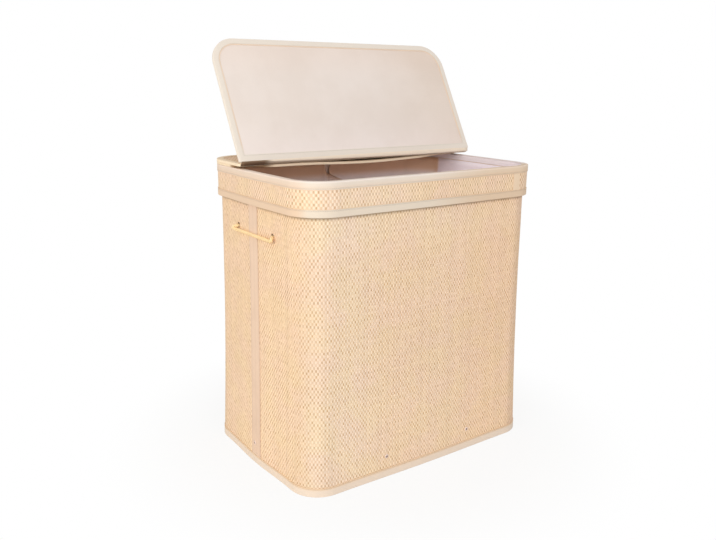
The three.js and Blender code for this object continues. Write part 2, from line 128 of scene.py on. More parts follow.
# How much a column belongs to a side wall and not to the front or back, eased round the corners
SIDE_SHARE = np.choose(
    KINDS,
    [np.ones(COLUMNS), 1 - smooth(SHARES), np.zeros(COLUMNS), smooth(SHARES)] * 2,
)


def wall_ring(z, inset=0.0, first=0):
    """The outline at a height, moved in by an inset: one point per column, and the first again."""
    half_x, half_y, bow_x, bow_y = wall_size(z)
    run_x, run_y = half_x - CORNER, half_y - CORNER
    inset = np.broadcast_to(inset, COLUMNS)
    swell = np.sin(np.pi * SHARES) ** 2
    out_x, out_y = half_x - inset + bow_x * swell, half_y - inset + bow_y * swell
    along_x, along_y = run_x * (2 * SHARES - 1), run_y * (2 * SHARES - 1)
    angle = (KINDS // 2 + SHARES) * np.pi / 2
    round_x, round_y = (CORNER - inset) * np.cos(angle), (CORNER - inset) * np.sin(angle)
    x = np.choose(KINDS, [out_x, run_x + round_x, -along_x, round_x - run_x,
                          -out_x, round_x - run_x, along_x, run_x + round_x])
    y = np.choose(KINDS, [along_y, run_y + round_y, out_y, run_y + round_y,
                          -along_y, round_y - run_y, -out_y, round_y - run_y])
    ring = np.roll(np.stack([x, y], axis=1), -first, axis=0)
    return np.vstack([ring, ring[:1]])


def run_along(points):
    steps = np.linalg.norm(np.diff(points, axis=0), axis=1)
    return np.concatenate([[0.0], np.cumsum(steps)])


WALL_RUN = run_along(wall_ring(RIM / 2))
PERIMETER = WALL_RUN[-1]
LEFT_MIDDLE = PERIMETER / 2


def drift(u, v, size, seed):
    """A soft random value between about -1 and 1 that changes over a length."""
    return noise.noise(Vector((u / size, v / size, seed)))


def cloth_ripple(run, z):
    """How far the glued cloth stands off the board, over the lower wall."""
    angle = 2 * math.pi * run / PERIMETER
    x, y = RIPPLE_RADIUS * math.cos(angle), RIPPLE_RADIUS * math.sin(angle)
    slow = noise.noise(Vector((x / 0.075, y / 0.075, z / 0.13)))
    quick = noise.noise(Vector((x / 0.028, y / 0.028, z / 0.05 + 9)))
    fade = smooth((RIPPLE_TOP - z) / (80 * MM)) * smooth(z / (30 * MM))
    return (0.28 + 0.42 * slow + 0.16 * quick) * MM * fade


def wall_rows(profile, first=0, ripple=True):
    """Rows of points round the wall for a profile of (inset, height) points."""
    rows = []
    for inset, z in profile:
        if ripple and z < RIPPLE_TOP:
            inset = inset - np.array([cloth_ripple(run, z) for run in WALL_RUN[:-1]])
        ring = wall_ring(z, inset, first)
        rows.append(np.column_stack([ring, np.full(len(ring), z)]))
    return np.array(rows)


def wall_at(run, z, inset):
    """A point of the wall at a distance along it, measured from the middle of the right side."""
    ring = wall_ring(z, inset)
    x = np.interp(run, WALL_RUN, ring[:, 0], period=PERIMETER)
    y = np.interp(run, WALL_RUN, ring[:, 1], period=PERIMETER)
    return Vector((x, y, z))


def front_run(x):
    """The distance along the wall to a place on the front."""
    ring = wall_ring(RIM / 2, 0.0, FRONT_FIRST)[: FRONT_COLUMNS + CORNER_COLUMNS // 2]
    runs = np.roll(WALL_RUN[:-1], -FRONT_FIRST)[: len(ring)]
    return float(np.interp(x, ring[:, 0], runs))


def arc(centre, radius, start, end, steps):
    """Points of a round bend in a profile, from one angle in degrees to another."""
    angles = np.radians(np.linspace(start, end, steps + 1))
    return [(centre[0] + radius * math.cos(a), centre[1] + radius * math.sin(a)) for a in angles]


# Making meshes and pieces
def add_grid(bm, points, across, along, closed=True):
    """A cloth grid in a bmesh, with its lengths across and along as the UV map."""
    points = np.asarray(points, dtype=float)
    rows, columns = points.shape[0] - 1, points.shape[1] - 1
    across = np.broadcast_to(across, (rows + 1, columns + 1))
    along = np.reshape(along, (-1, 1)) if np.ndim(along) == 1 else along
    along = np.broadcast_to(along, (rows + 1, columns + 1))
    cloth = bm.loops.layers.uv.get("cloth") or bm.loops.layers.uv.new("cloth")
    made = bmesh.ops.create_grid(bm, x_segments=columns, y_segments=rows, size=0.5)["verts"]
    cell = {}
    for vert in made:
        cell[vert] = (round((vert.co.y + 0.5) * rows), round((vert.co.x + 0.5) * columns))
    for face in {face for vert in made for face in vert.link_faces}:
        for loop in face.loops:
            row, column = cell[loop.vert]
            loop[cloth].uv = (across[row, column], along[row, column])
    for vert, (row, column) in cell.items():
        vert.co = points[row, column]
    if closed:
        bmesh.ops.remove_doubles(bm, verts=made, dist=0.001 * MM)
    return bm


def add_object(name, data):
    made = bpy.data.objects.new(name, data)
    bpy.context.scene.collection.objects.link(made)
    return made


def make_piece(name, bm, slot, finish, body=None, nodes=(), thickness=0.0, edge=0.0):
    """An object from a bmesh, with its thickness, soft edges, material, body and the nodes it stands for."""
    mesh = bpy.data.meshes.new(name)
    bm.to_mesh(mesh)
    bm.free()
    mesh.shade_smooth()
    mesh.materials.append(finish)
    piece = add_object(name, mesh)
    if thickness:
        wall = piece.modifiers.new("thickness", "SOLIDIFY")
        wall.thickness = thickness
        wall.offset = -1
        wall.use_even_offset = True
    if edge:
        soft = piece.modifiers.new("soft edge", "BEVEL")
        soft.width = edge
        soft.segments = 2
        soft.limit_method = "ANGLE"
        soft.angle_limit = math.radians(50)
        soft.harden_normals = True
    if body:
        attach(piece, body)
    if nodes:
        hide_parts(*nodes)
    return piece


def grid_piece(name, points, across, along, *dress, closed=True):
    """A piece that is one cloth grid."""
    return make_piece(name, add_grid(bmesh.new(), points, across, along, closed), *dress)


def cut_round_hole(bm, centre, radius, sides=16):
    """A round hole through a wall that faces sideways."""
    for step in range(sides):
        angle = 2 * math.pi * step / sides
        out = Vector((0, math.cos(angle), math.sin(angle)))
        near = [f for f in bm.faces if (f.calc_center_median() - centre).length < 3 * radius]
        parts = set(near)
        for face in near:
            parts.update(face.edges)
            parts.update(face.verts)
        bmesh.ops.bisect_plane(bm, geom=list(parts), plane_co=centre + radius * out, plane_no=out)
    inside = []
    for face in bm.faces:
        off = face.calc_center_median() - centre
        if abs(off.x) < 3 * radius and math.hypot(off.y, off.z) < radius:
            inside.append(face)
    bmesh.ops.delete(bm, geom=inside, context="FACES")


# Shader maths
class Term:
    """A socket of a finish, so that shader maths reads as plain expressions."""

    def __init__(self, finish, socket):
        self.finish = finish
        self.socket = socket

    def maths(self, operation, *others):
        return self.finish.add("ShaderNodeMath", {"operation": operation}, (self, *others))

    def wave(self, pitch):
        """A wave that turns from 1 to -1 over each pitch."""
        return (self * (math.pi / pitch)).maths("COSINE")

    def __add__(self, other):
        return self.maths("ADD", other)

    __radd__ = __add__

    def __sub__(self, other):
        return self.maths("SUBTRACT", other)

    def __rsub__(self, other):
        return -self + other

    def __mul__(self, other):
        return self.maths("MULTIPLY", other)

    __rmul__ = __mul__

    def __truediv__(self, other):
        return self.maths("DIVIDE", other)

    def __pow__(self, other):
        return self.maths("POWER", other)

    def __abs__(self):
        return self.maths("ABSOLUTE")

    def __neg__(self):
        return self * -1.0


class Finish:
    """A material and the nodes that make its colour, roughness and relief."""

    def __init__(self, name, specular=0.3):
        self.material = bpy.data.materials.new(name)
        self.material.use_nodes = True
        self.tree = self.material.node_tree
        self.shader = self.tree.nodes["Principled BSDF"]
        self.shader.inputs["Specular IOR Level"].default_value = specular

    def add(self, kind, settings=None, values=(), output=0):
        """A node from its type, its settings and its sockets' values or links, and one of its outputs."""
        node = self.tree.nodes.new(kind)
        for key, value in (settings or {}).items():
            setattr(node, key, value)
        for key, value in values.items() if isinstance(values, dict) else enumerate(values):
            if isinstance(value, Term):
                self.tree.links.new(value.socket, node.inputs[key])
            else:
                node.inputs[key].default_value = value
        return Term(self, node.outputs[output])

    def split(self, place):
        """The three coordinates of a place."""
        node = self.add("ShaderNodeSeparateXYZ", None, [place]).socket.node
        return [Term(self, socket) for socket in node.outputs]

    def cloth_place(self):
        """Lengths across and up the cloth, in metres."""
        return self.split(self.add("ShaderNodeUVMap", {"uv_map": "cloth"}))[:2]

    def object_place(self):
        return self.add("ShaderNodeTexCoord", None, (), "Object")

    def vector(self, x=0.0, y=0.0, z=0.0):
        return self.add("ShaderNodeCombineXYZ", None, [x, y, z])

    def noise(self, place, scale, detail=2.0, roughness=0.5):
        values = {"Vector": place, "Scale": scale, "Detail": detail, "Roughness": roughness}
        return self.add("ShaderNodeTexNoise", None, values)

    def chance(self, value):
        """A random number for each whole number."""
        return self.add("ShaderNodeTexWhiteNoise", {"noise_dimensions": "1D"}, {"W": value})

    def ease(self, value, low, high, to_low=0.0, to_high=1.0):
        values = {"Value": value, "From Min": low, "From Max": high, "To Min": to_low, "To Max": to_high}
        return self.add("ShaderNodeMapRange", {"interpolation_type": "SMOOTHSTEP"}, values)

    def mix(self, share, low, high, blend="MIX"):
        low = (*low, 1.0) if isinstance(low, tuple) else low
        high = (*high, 1.0) if isinstance(high, tuple) else high
        settings = {"data_type": "RGBA", "blend_type": blend}
        return self.add("ShaderNodeMix", settings, {0: share, 6: low, 7: high}, 2)

    def shade(self, colour, amount):
        """A colour made lighter or darker by a factor round 1."""
        grey = self.add("ShaderNodeCombineColor", None, [amount, amount, amount])
        return self.mix(1.0, colour, grey, "MULTIPLY")

    def tinted(self, paint, tints):
        """Colours that come in along the axes: (((axis, from, to), ...), colour)."""
        axes = self.split(self.object_place()) if tints else ()
        for ramps, colour in tints:
            share = 1.0
            for axis, start, end in ramps:
                share = self.ease(axes[axis], start, end) * share
            paint = self.mix(share, paint, colour, "MULTIPLY")
        return paint

    def set(self, colour, roughness, height, depth, metal=0.0):
        """The material with its colour, its roughness and a relief of some depth."""
        bump = self.add("ShaderNodeBump", None, {"Strength": 1.0, "Distance": depth, "Height": height})
        values = {"Base Color": colour, "Roughness": roughness, "Metallic": metal, "Normal": bump}
        for key, value in values.items():
            if isinstance(value, Term):
                self.tree.links.new(value.socket, self.shader.inputs[key])
            else:
                self.shader.inputs[key].default_value = value
        return self.material


# Finishes
WARP_PITCH = 3.5 * MM
WEFT_PITCH = 5.6 * MM
STRAND_SWAY = 3.0 * MM
# Where the painted shadow under the skirt's hem comes in up the wall, and where it fades
HEM_SHADOW_START = (529 * MM, 535.5 * MM)
HEM_SHADOW_END = (538 * MM, 546 * MM)


def woven_straw(name, least_gap, tints, folds=False):
    """Plain weave of flat paper strands: pale uprights cover the crossing strands but for small gaps, with
    painted shade in the gaps and on the strands' low edges.
    """
    finish = Finish(name, 0.25)
    across, up = finish.cloth_place()
    sway = finish.noise(finish.vector(across, up, 0.0), 22.0, 1.0)
    lean = finish.noise(finish.vector(across, up, 3.0), 27.0, 1.0)
    warp = (across + (sway - 0.5) * STRAND_SWAY) / WARP_PITCH
    weft = (up + (lean - 0.5) * STRAND_SWAY) / WEFT_PITCH
    warp_number, weft_number = warp.maths("ROUND"), weft.maths("ROUND")
    warp_wave, weft_wave = warp.wave(1.0), weft.wave(1.0)
    warp_face, weft_face = abs(warp_wave), abs(weft_wave)
    crossing = warp_wave * weft_wave
    over = finish.ease(crossing, -0.30, -0.02)
    under = 1 - over
    gap = finish.ease(warp_face ** 1.3 * weft_face ** 0.5, 0.15, 0.80) * finish.ease(-crossing, 0.02, 0.2)
    gap = gap * (least_gap + (1 - least_gap) * finish.chance(warp_number + 57.0 * weft_number))
    warp_high = warp_face ** 0.55 * (0.55 + 0.45 * weft_face)
    weft_high = weft_face ** 0.55 * (0.40 + 0.25 * warp_face)
    height = over * warp_high + under * weft_high
    fibre_up = finish.noise(finish.vector(across * 1500.0, up * 110.0), 1.0, 3.0, 0.6)
    fibre_across = finish.noise(finish.vector(across * 110.0, up * 1500.0), 1.0, 3.0, 0.6)
    fibre = over * fibre_up + under * fibre_across
    strand = over * finish.chance(warp_number) + under * finish.chance(weft_number + 71.3)
    patch = finish.noise(finish.vector(across, up, 7.0), 9.0, 2.0)
    hue = finish.noise(finish.vector(across, up, 12.0), 16.0, 3.0)
    tone = 1 + 0.03 * warp_wave + 0.09 * (strand - 0.5) + 0.16 * (fibre - 0.5) + 0.06 * (patch - 0.5)
    # Painted shade: the strands darken towards their low edges, and the gaps between them are painted dark
    paint = finish.mix(finish.ease(height, 0.1, 0.9), STRAW_LOW_SHADED, STRAW_HIGH)
    paint = finish.mix(gap, paint, STRAW_GAP_SHADE)
    cast = finish.mix(finish.ease(hue, 0.35, 0.65), (1.0, 0.985, 0.93), (1.0, 0.965, 0.985))
    paint = finish.mix(1.0, paint, cast, "MULTIPLY")
    paint = finish.shade(finish.tinted(paint, tints), tone)
    relief = height + 0.16 * fibre - 0.35 * gap
    if folds:
        x, y = finish.split(finish.object_place())[:2]
        on_side = finish.ease(abs(x), 250 * MM, 270 * MM)
        # Painted shade: the side fold's crease is a touch darker
        crease = (1 - finish.ease(abs(abs(y) - FOLD_CREASE_Y), 0.5 * MM, 3.2 * MM)) * on_side
        # Painted shadow: a darker band on the wall just under the skirt's hem
        hem_shadow = finish.ease(up, *HEM_SHADOW_START) * (1 - finish.ease(up, *HEM_SHADOW_END))
        # Painted shade: the rounded corners of the wall are a touch darker
        corner = finish.ease(abs(x) + abs(y), 416 * MM, 440 * MM)
        paint = finish.shade(paint, (1 - 0.05 * crease) * (1 - 0.34 * hem_shadow) * (1 - 0.07 * corner))
        relief = relief - crease
    return finish.set(paint, 0.70 + 0.12 * fibre, relief, 0.40 * MM)


STITCH_PITCH = 3.4 * MM


def tape_ground(finish, across, up, rib, thread, patch_scale):
    """A tape's fine weave, its grain and its slow patches."""
    weave = up.wave(rib) * across.wave(thread)
    grain = finish.noise(finish.vector(across * 900.0, up * 900.0), 1.0, 2.0)
    patch = finish.noise(finish.vector(across, up, 2.0), patch_scale, 3.0)
    return weave, grain, patch


def stitch_row(finish, along, off):
    """A row of stitches: its dashes, its line and the groove that it pulls into the cloth."""
    beat = (along / STITCH_PITCH).maths("FRACT")
    dash = 1 - finish.ease(abs(beat - 0.5), 0.34, 0.44)
    line = 1 - finish.ease(off, 0.18 * MM, 0.42 * MM)
    dip = 1 - finish.ease(off, 0.3 * MM, 2.2 * MM)
    return dash, line, dip


def sewn_tape(name, colour, stitches=(), tone=0.05, groove=1.0, edges=(), edges_from=0.0, tints=()):
    """Fine woven tape with rows of lockstitch at distances along its width.

    Its edges may have a tint, (place, reach, colour), that starts above a height.
    """
    finish = Finish(name)
    across, up = finish.cloth_place()
    weave, grain, patch = tape_ground(finish, across, up, 0.55 * MM, 0.7 * MM, 25.0)
    amount = 1 + 0.04 * weave + 0.10 * (grain - 0.5) + 2 * tone * (patch - 0.5)
    relief = 0.06 * weave + 0.05 * grain
    paint = finish.mix(finish.ease(patch, 0.3, 0.7), colour, tuple(0.98 * part for part in colour))
    for place, reach, tint in edges:
        share = 1 - finish.ease(abs(up - place), 0.0, reach)
        if edges_from:
            height = finish.split(finish.object_place())[Z]
            share = share * finish.ease(height, edges_from, edges_from + 30 * MM)
        paint = finish.mix(share, paint, tint)
    paint = finish.shade(finish.tinted(paint, tints), amount)
    for stitch in stitches:
        off = abs(up - stitch)
        dash, line, dip = stitch_row(finish, across, off)
        needle = (1 - dash) * (1 - finish.ease(off, 0.25 * MM, 0.55 * MM))
        # Painted shade: the groove along each row of stitches and the needle holes between its stitches are
        # darker
        paint = finish.shade(paint, 1 - 0.05 * groove * dip * (1 - line * dash) - 0.20 * needle)
        relief = relief - 0.40 * groove * dip + 0.60 * line * dash
    return finish.set(paint, 0.78, relief, 0.5 * MM)


def plain_cloth(name, colour, shade, pitch=0.6 * MM, gloss=0.85, crinkle=0.25, patch_scale=14.0, mottle=0.08,
                tints=()):
    """Thin plain-woven cloth with soft creases and slightly uneven colour."""
    finish = Finish(name)
    across, up = finish.cloth_place()
    weave = across.wave(pitch) * up.wave(pitch)
    patch = finish.noise(finish.vector(across, up, 1.0), patch_scale, 4.0, 0.55)
    crease = finish.noise(finish.vector(across, up * 0.6, 5.0), 45.0, 3.0, 0.55)
    paint = finish.tinted(finish.mix(finish.ease(patch, 0.35, 0.65), shade, colour), tints)
    # Painted shade and light: the colour follows the creases' relief, darker in their hollows and lighter on
    # their ridges
    paint = finish.shade(paint, 1 + 0.03 * weave + mottle * (crease - 0.5))
    return finish.set(paint, gloss, crinkle * crease * 4 + 0.05 * weave, 0.5 * MM)


def pressed_board(name):
    """Grey-brown pressed board with paper fibres."""
    finish = Finish(name, 0.2)
    place = finish.object_place()
    fibre = finish.noise(place, 420.0, 4.0, 0.7)
    patch = finish.noise(place, 30.0, 3.0)
    paint = finish.mix(finish.ease(fibre, 0.3, 0.7), (0.33, 0.26, 0.18), (0.55, 0.46, 0.34))
    paint = finish.shade(paint, 1 + 0.2 * (patch - 0.5))
    return finish.set(paint, 0.9, fibre, 0.1 * MM)


def floor_cloth(name, colour):
    """Thin cloth over the flat floor panel, seen from below."""
    finish = Finish(name)
    place = finish.object_place()
    x, y = finish.split(place)[:2]
    weave = x.wave(1.2 * MM) * y.wave(1.2 * MM)
    patch = finish.noise(place, 20.0, 4.0)
    paint = finish.shade(colour, 1 + 0.08 * weave + 0.14 * (patch - 0.5))
    return finish.set(paint, 0.85, weave, 0.12 * MM)


def rope_fibre(name):
    """Twisted yarn: fine fibres that run at a slant round each strand."""
    finish = Finish(name)
    across, up = finish.cloth_place()
    slant = finish.vector(across * 1100.0 + up * 420.0, up * 60.0)
    fibre = finish.noise(slant, 1.0, 3.0, 0.6)
    yarn = (across * 900.0 + up * 330.0).maths("SINE")
    patch = finish.noise(finish.vector(across, up, 4.0), 60.0, 2.0)
    paint = finish.mix(finish.ease(fibre, 0.3, 0.7), (0.86, 0.62, 0.33), (0.97, 0.76, 0.46))
    paint = finish.shade(paint, 1 + 0.05 * yarn + 0.10 * (patch - 0.5))
    return finish.set(paint, 0.75, fibre + 0.6 * yarn, 0.15 * MM)


def nickel(name):
    """Pale plated metal, dulled and scratched."""
    finish = Finish(name)
    place = finish.object_place()
    scratch = finish.noise(place, 2600.0, 3.0)
    cloud = finish.noise(place, 300.0, 3.0)
    paint = finish.mix(cloud, (0.74, 0.58, 0.50), (0.87, 0.73, 0.65))
    return finish.set(paint, 0.45 + 0.2 * scratch, scratch, 0.02 * MM, 0.6)


def bore_painted_shade(name):
    """The dull inside of a hollow rivet, painted dark brown as the shade in its hole."""
    finish = Finish(name)
    bore_mottle = finish.noise(finish.object_place(), 900.0, 3.0)
    return finish.set(finish.mix(bore_mottle, (0.14, 0.08, 0.06), (0.28, 0.18, 0.14)), 0.8, bore_mottle, 0.02 * MM)


def hook_pile(name):
    """The fuzzy face of a hook and loop strip."""
    finish = Finish(name, 0.2)
    across, up = finish.cloth_place()
    pile = finish.noise(finish.vector(across, up), 2200.0, 3.0, 0.7)
    patch = finish.noise(finish.vector(across, up, 2.0), 80.0, 2.0)
    paint = finish.mix(finish.ease(pile, 0.35, 0.65), (0.82, 0.74, 0.75), (0.92, 0.85, 0.87))
    paint = finish.shade(paint, 1 + 0.1 * (patch - 0.5))
    return finish.set(paint, 0.95, pile, 0.4 * MM)


# Colours
# The straw's colour on its raised strands, the painted shade on their low edges and the painted shade in its
# gaps
STRAW_HIGH = (0.93, 0.745, 0.57)
STRAW_LOW_SHADED = (0.80, 0.585, 0.385)
STRAW_GAP_SHADE = (0.56, 0.35, 0.18)
CREAM = (0.80, 0.70, 0.60)
HEM_CREAM = (0.78, 0.68, 0.56)
BASE_CREAM = (0.84, 0.71, 0.59)
PEACH = (0.93, 0.77, 0.57)
SEAM_CREAM = (0.85, 0.66, 0.475)
LINING_PINK = (0.95, 0.86, 0.90)
STRAW_EDGE = (0.84, 0.62, 0.42)
RIM_LOW = (0.79, 0.665, 0.545)
# Painted highlight along the rim tape's top
RIM_HIGHLIGHT = (0.90, 0.81, 0.75)
PEACH_EDGE = (0.90, 0.70, 0.53)
FOLD_SHADE = (0.40, 0.28, 0.18)
SIDE_TAPE = (0.815, 0.605, 0.457)
FLAP_CREAM = (0.85, 0.77, 0.68)
FOLD_CREAM = (0.92, 0.79, 0.64)

# Tints by place: each comes in along one or two axes, from one place to another in metres
X, Y, Z = 0, 1, 2
TOWARDS_FRONT = (Y, -0.15, -0.19)
LEFT_END = (X, -0.272, -0.288)
BODY_TINTS_AND_PAINTED_LIGHT = [
    (((X, -0.08, -0.20), TOWARDS_FRONT), (1.01, 1.045, 1.08)),
    (((X, 0.02, 0.18),), (1.02, 0.98, 0.95)),
    # Painted warm light: the wall's left end is a touch warmer
    ((LEFT_END,), (1.01, 0.99, 0.955)),
    (((Z, 0.34, 0.08),), (1.035, 1.05, 1.06)),
    (((Z, 0.44, 0.52), TOWARDS_FRONT), (1.0, 1.025, 1.045)),
]
LID_TINTS = [(((X, 0.02, -0.12), TOWARDS_FRONT), (1.02, 1.06, 1.10))]
HEM_TINTS = [((LEFT_END,), (1.0, 0.86, 0.76)), (((X, -0.05, 0.15),), (0.97, 0.85, 0.74))]
RIM_TINTS_AND_PAINTED_LIGHT = [
    ((LEFT_END,), (1.0, 0.93, 0.88)),
    (((X, -0.05, 0.17), (Y, -0.15, -0.18)), (0.97, 0.88, 0.77)),
    # Painted light: paler and bluer on the right side, from just behind the front corner back
    (((X, 0.24, 0.27), (Y, -0.175, -0.145)), (1.08, 1.08, 1.20)),
]
# Painted shade: the shelf tape's front left corner, under the rear panel, is darkened
SHELF_CORNER_SHADE = [(((X, -0.212, -0.240), (Y, 0.090, 0.075)), (0.38, 0.29, 0.22))]
# Painted shade: the fold cloth's left end is darkened
FOLD_END_SHADE = [(((X, -0.222, -0.246),), (0.30, 0.23, 0.18))]
BAG_SHADE_AND_LIGHT = [
    # Painted shade: the bags' walls high up and towards the back, under the lid, are browned
    (((Z, 0.543, 0.563), (Y, 0.109, 0.117)), (0.88, 0.67, 0.48)),
    # Painted light: the front part of the right bag's outer wall is paler and bluer
    (((X, 0.225, 0.262), (Y, 0.118, 0.110)), (1.02, 1.03, 1.14)),
]
SATIN_SHADE_AND_LIGHT = [
    # Painted light and shade on the flap's lining: darker towards its right, lighter low down, and a touch
    # warmer and darker at its top
    (((X, 0.05, 0.28),), (0.955, 0.92, 0.88)),
    (((Z, 0.70, 0.62),), (1.05, 1.05, 1.07)),
    (((Z, 0.76, 0.83),), (1.0, 0.97, 0.95)),
]

straw_body = woven_straw("woven straw, body", 0.15, BODY_TINTS_AND_PAINTED_LIGHT, True)
straw_lid = woven_straw("woven straw, lid", 0.3, LID_TINTS)
board_finish = pressed_board("pressed board")
bag_cloth = plain_cloth("bag cloth", (0.96, 0.85, 0.83), (0.94, 0.82, 0.79), mottle=0.05, tints=BAG_SHADE_AND_LIGHT)
wall_lining = plain_cloth("wall lining", (0.86, 0.71, 0.62), (0.82, 0.66, 0.57), crinkle=0.1)
shelf_lining = plain_cloth("shelf lining", (0.86, 0.66, 0.46), (0.80, 0.60, 0.41), crinkle=0.1)
satin_lining = plain_cloth("satin lining", (0.86, 0.77, 0.71), (0.83, 0.735, 0.67), 0.45 * MM, 0.5, 0.12,
                           patch_scale=9.0, mottle=0.03, tints=SATIN_SHADE_AND_LIGHT)
rope_finish = rope_fibre("twisted rope")
rivet_finish = nickel("nickel")
bore_shade_finish = bore_painted_shade("rivet bore")
pile_finish = hook_pile("hook and loop")
panel_finish = floor_cloth("floor panel cloth", (0.72, 0.62, 0.56))


# The woven body and what is sewn to it
def body_cover():
    heights = np.linspace(WALL_LOW, WALL_HIGH, 55)
    bm = add_grid(bmesh.new(), wall_rows([(0.0, z) for z in heights]), WALL_RUN, heights)
    for side in (-1, 1):
        for end in (-1, 1):
            run = (LEFT_MIDDLE if side < 0 else 0.0) + side * end * HOLE_Y
            cut_round_hole(bm, wall_at(run, HANDLE_Z, 0.0), HANDLE_HOLE)
    make_piece("woven_body_cloth", bm, "weave", straw_body, "body", ["body_cover"], 1.0 * MM, 0.25 * MM)


def wall_tape(name, profile, finish, body, nodes, first=0):
    """A tape that follows the wall all round, from a profile of (inset, height) points in millimetres."""
    profile = np.array(profile) * MM
    rows = wall_rows(profile, first)
    grid_piece(name, rows, WALL_RUN, run_along(profile), "edge_tape", finish, body, nodes, TAPE_THICKNESS,
               TAPE_EDGE)


def wall_patch(name, run, half_width, low, high, inset, finish, body, nodes, ripple=True, slant=0.0):
    """A flat strip laid on the wall. It stands upright, or leans by a slant at each end."""
    columns = max(4, round(2 * half_width / (2.5 * MM)))
    rows = max(6, round((high - low) / (9 * MM)))
    widths = np.linspace(-half_width, half_width, columns + 1)
    heights = np.linspace(low, high, rows + 1)
    points = []
    for z in heights:
        line = []
        lean = slant * (1 - 2 * (z - low) / (high - low))
        for width in widths:
            seed = 4.0 if width > 0 else 8.0
            sway = 0.35 * MM * drift(z, inset * 1000, 0.09, seed) * abs(width / half_width)
            place = (run + width + sway + lean) % PERIMETER
            line.append(wall_at(place, z, inset - (cloth_ripple(place, z) if ripple else 0.0)))
        points.append(line)
    grid_piece(name, points, widths + half_width, heights - low, "edge_tape", finish, body, nodes,
               TAPE_THICKNESS, TAPE_EDGE, closed=False)


# The tapes' profiles, (inset, height) in millimetres
BASE_TAPE = [(5.7, 18), (5.7, 6), *arc((5.0, 0.7), 0.7, 0, -90, 3), (2.2, 0),
             *arc((-0.4, 0.7), 0.7, -90, -180, 4), (-1.1, 6), (-1.1, 12), (-1.1, 18)]
TOP_TAPE = [(-1.1, 584.1), (-1.1, 591), *arc((-0.4, 598.2), 0.7, 180, 90, 4), (2.3, 598.9),
            *arc((5.0, 598.2), 0.7, 90, 0, 4), (5.7, 592), (5.7, 587.8)]
HEM_TAPE = [(-1.7, 547), (-1.7, 541), *arc((-2.4, 537.7), 0.7, 0, -90, 3), (-4.8, 537),
            *arc((-7.2, 537.7), 0.7, -90, -180, 4), (-7.9, 541), (-7.9, 546), (-7.9, 551)]
RIM_TAPE = [(-7.9, 586), (-7.9, 591), (-7.9, 596), *arc((-7.1, 599.2), 0.8, 180, 90, 4),
            (-4.5, 600.1), (-1, 600), (2.5, 600), *arc((5.3, 599.6), 0.4, 90, 0, 3)]


def profile_length(profile):
    return run_along(np.array(profile))[-1] * MM


def body_tapes():
    top = profile_length(BASE_TAPE)
    tape = sewn_tape("base tape", BASE_CREAM, [top - 2.2 * MM], edges=[(top, 7 * MM, STRAW_EDGE)])
    wall_tape("base_tape", BASE_TAPE, tape, "body", ["body_bottom_binding"])
    tape = sewn_tape("body rim tape", LINING_PINK, [TAPE_SEAM])
    wall_tape("body_rim_tape", TOP_TAPE, tape, "body", ["body_top_binding"])
    finish = fold_tape_finish()
    for name, run in (("left", LEFT_MIDDLE), ("right", 0.0)):
        wall_patch(f"{name}_fold_tape_cloth", run, FOLD_TAPE_WIDTH / 2, *FOLD_TAPE_SPAN, -1.1 * MM,
                   finish, "body", [f"{name}_fold_tape"], slant=FOLD_TAPE_SLANT)


def fold_tape_finish():
    """The wide tape down each side: sewn along both edges and creased down its middle."""
    finish = Finish("fold tape cloth")
    across, up = finish.cloth_place()
    weave, grain, patch = tape_ground(finish, across, up, 0.8 * MM, 0.6 * MM, 22.0)
    from_middle = abs(across - FOLD_TAPE_WIDTH / 2)
    crease = 1 - finish.ease(from_middle, 0.3 * MM, 2.5 * MM)
    paint = finish.mix(finish.ease(patch, 0.35, 0.65), SIDE_TAPE, tuple(0.96 * part for part in SIDE_TAPE))
    off = abs(FOLD_TAPE_WIDTH / 2 - from_middle - FOLD_TAPE_SEAM)
    dash, line, dip = stitch_row(finish, up, off)
    # Painted shade: the middle crease and the grooves along the stitches are a touch darker
    amount = 1 + 0.04 * weave + 0.08 * (grain - 0.5) - 0.04 * crease - 0.04 * dip
    relief = 0.06 * weave + 0.05 * grain - 0.6 * crease - 0.4 * dip + 0.6 * line * dash
    return finish.set(finish.shade(paint, amount), 0.78, relief, 0.5 * MM)


def wall_lining_cloth():
    heights = np.linspace(WALL_LOW, WALL_HIGH, 25)
    rows = wall_rows([(4.0 * MM, z) for z in heights], 0, False)[:, ::-1]
    piece = grid_piece("wall_lining_cloth", rows, WALL_RUN, heights, "lining", wall_lining, "body",
                       ["body_lining"])
    wall = piece.modifiers.new("thickness", "SOLIDIFY")
    wall.thickness = LINING_THICKNESS
    wall.offset = 1


# A rivet's profile, (radius, height) in millimetres
RIVET_PROFILE = [
    (0.0, -0.1), (1.8, -0.1), (1.9, 0.6), (2.1, 1.0), (2.4, 1.15), (2.7, 0.95), (2.9, 0.6), (3.2, 0.5),
    (3.8, 0.6), (4.2, 0.45), (4.5, 0.15), (4.5, -0.25), (1.6, -0.3), (1.6, -4.0), (0.0, -4.0),
]
RIVET_BORE = 2.05 * MM


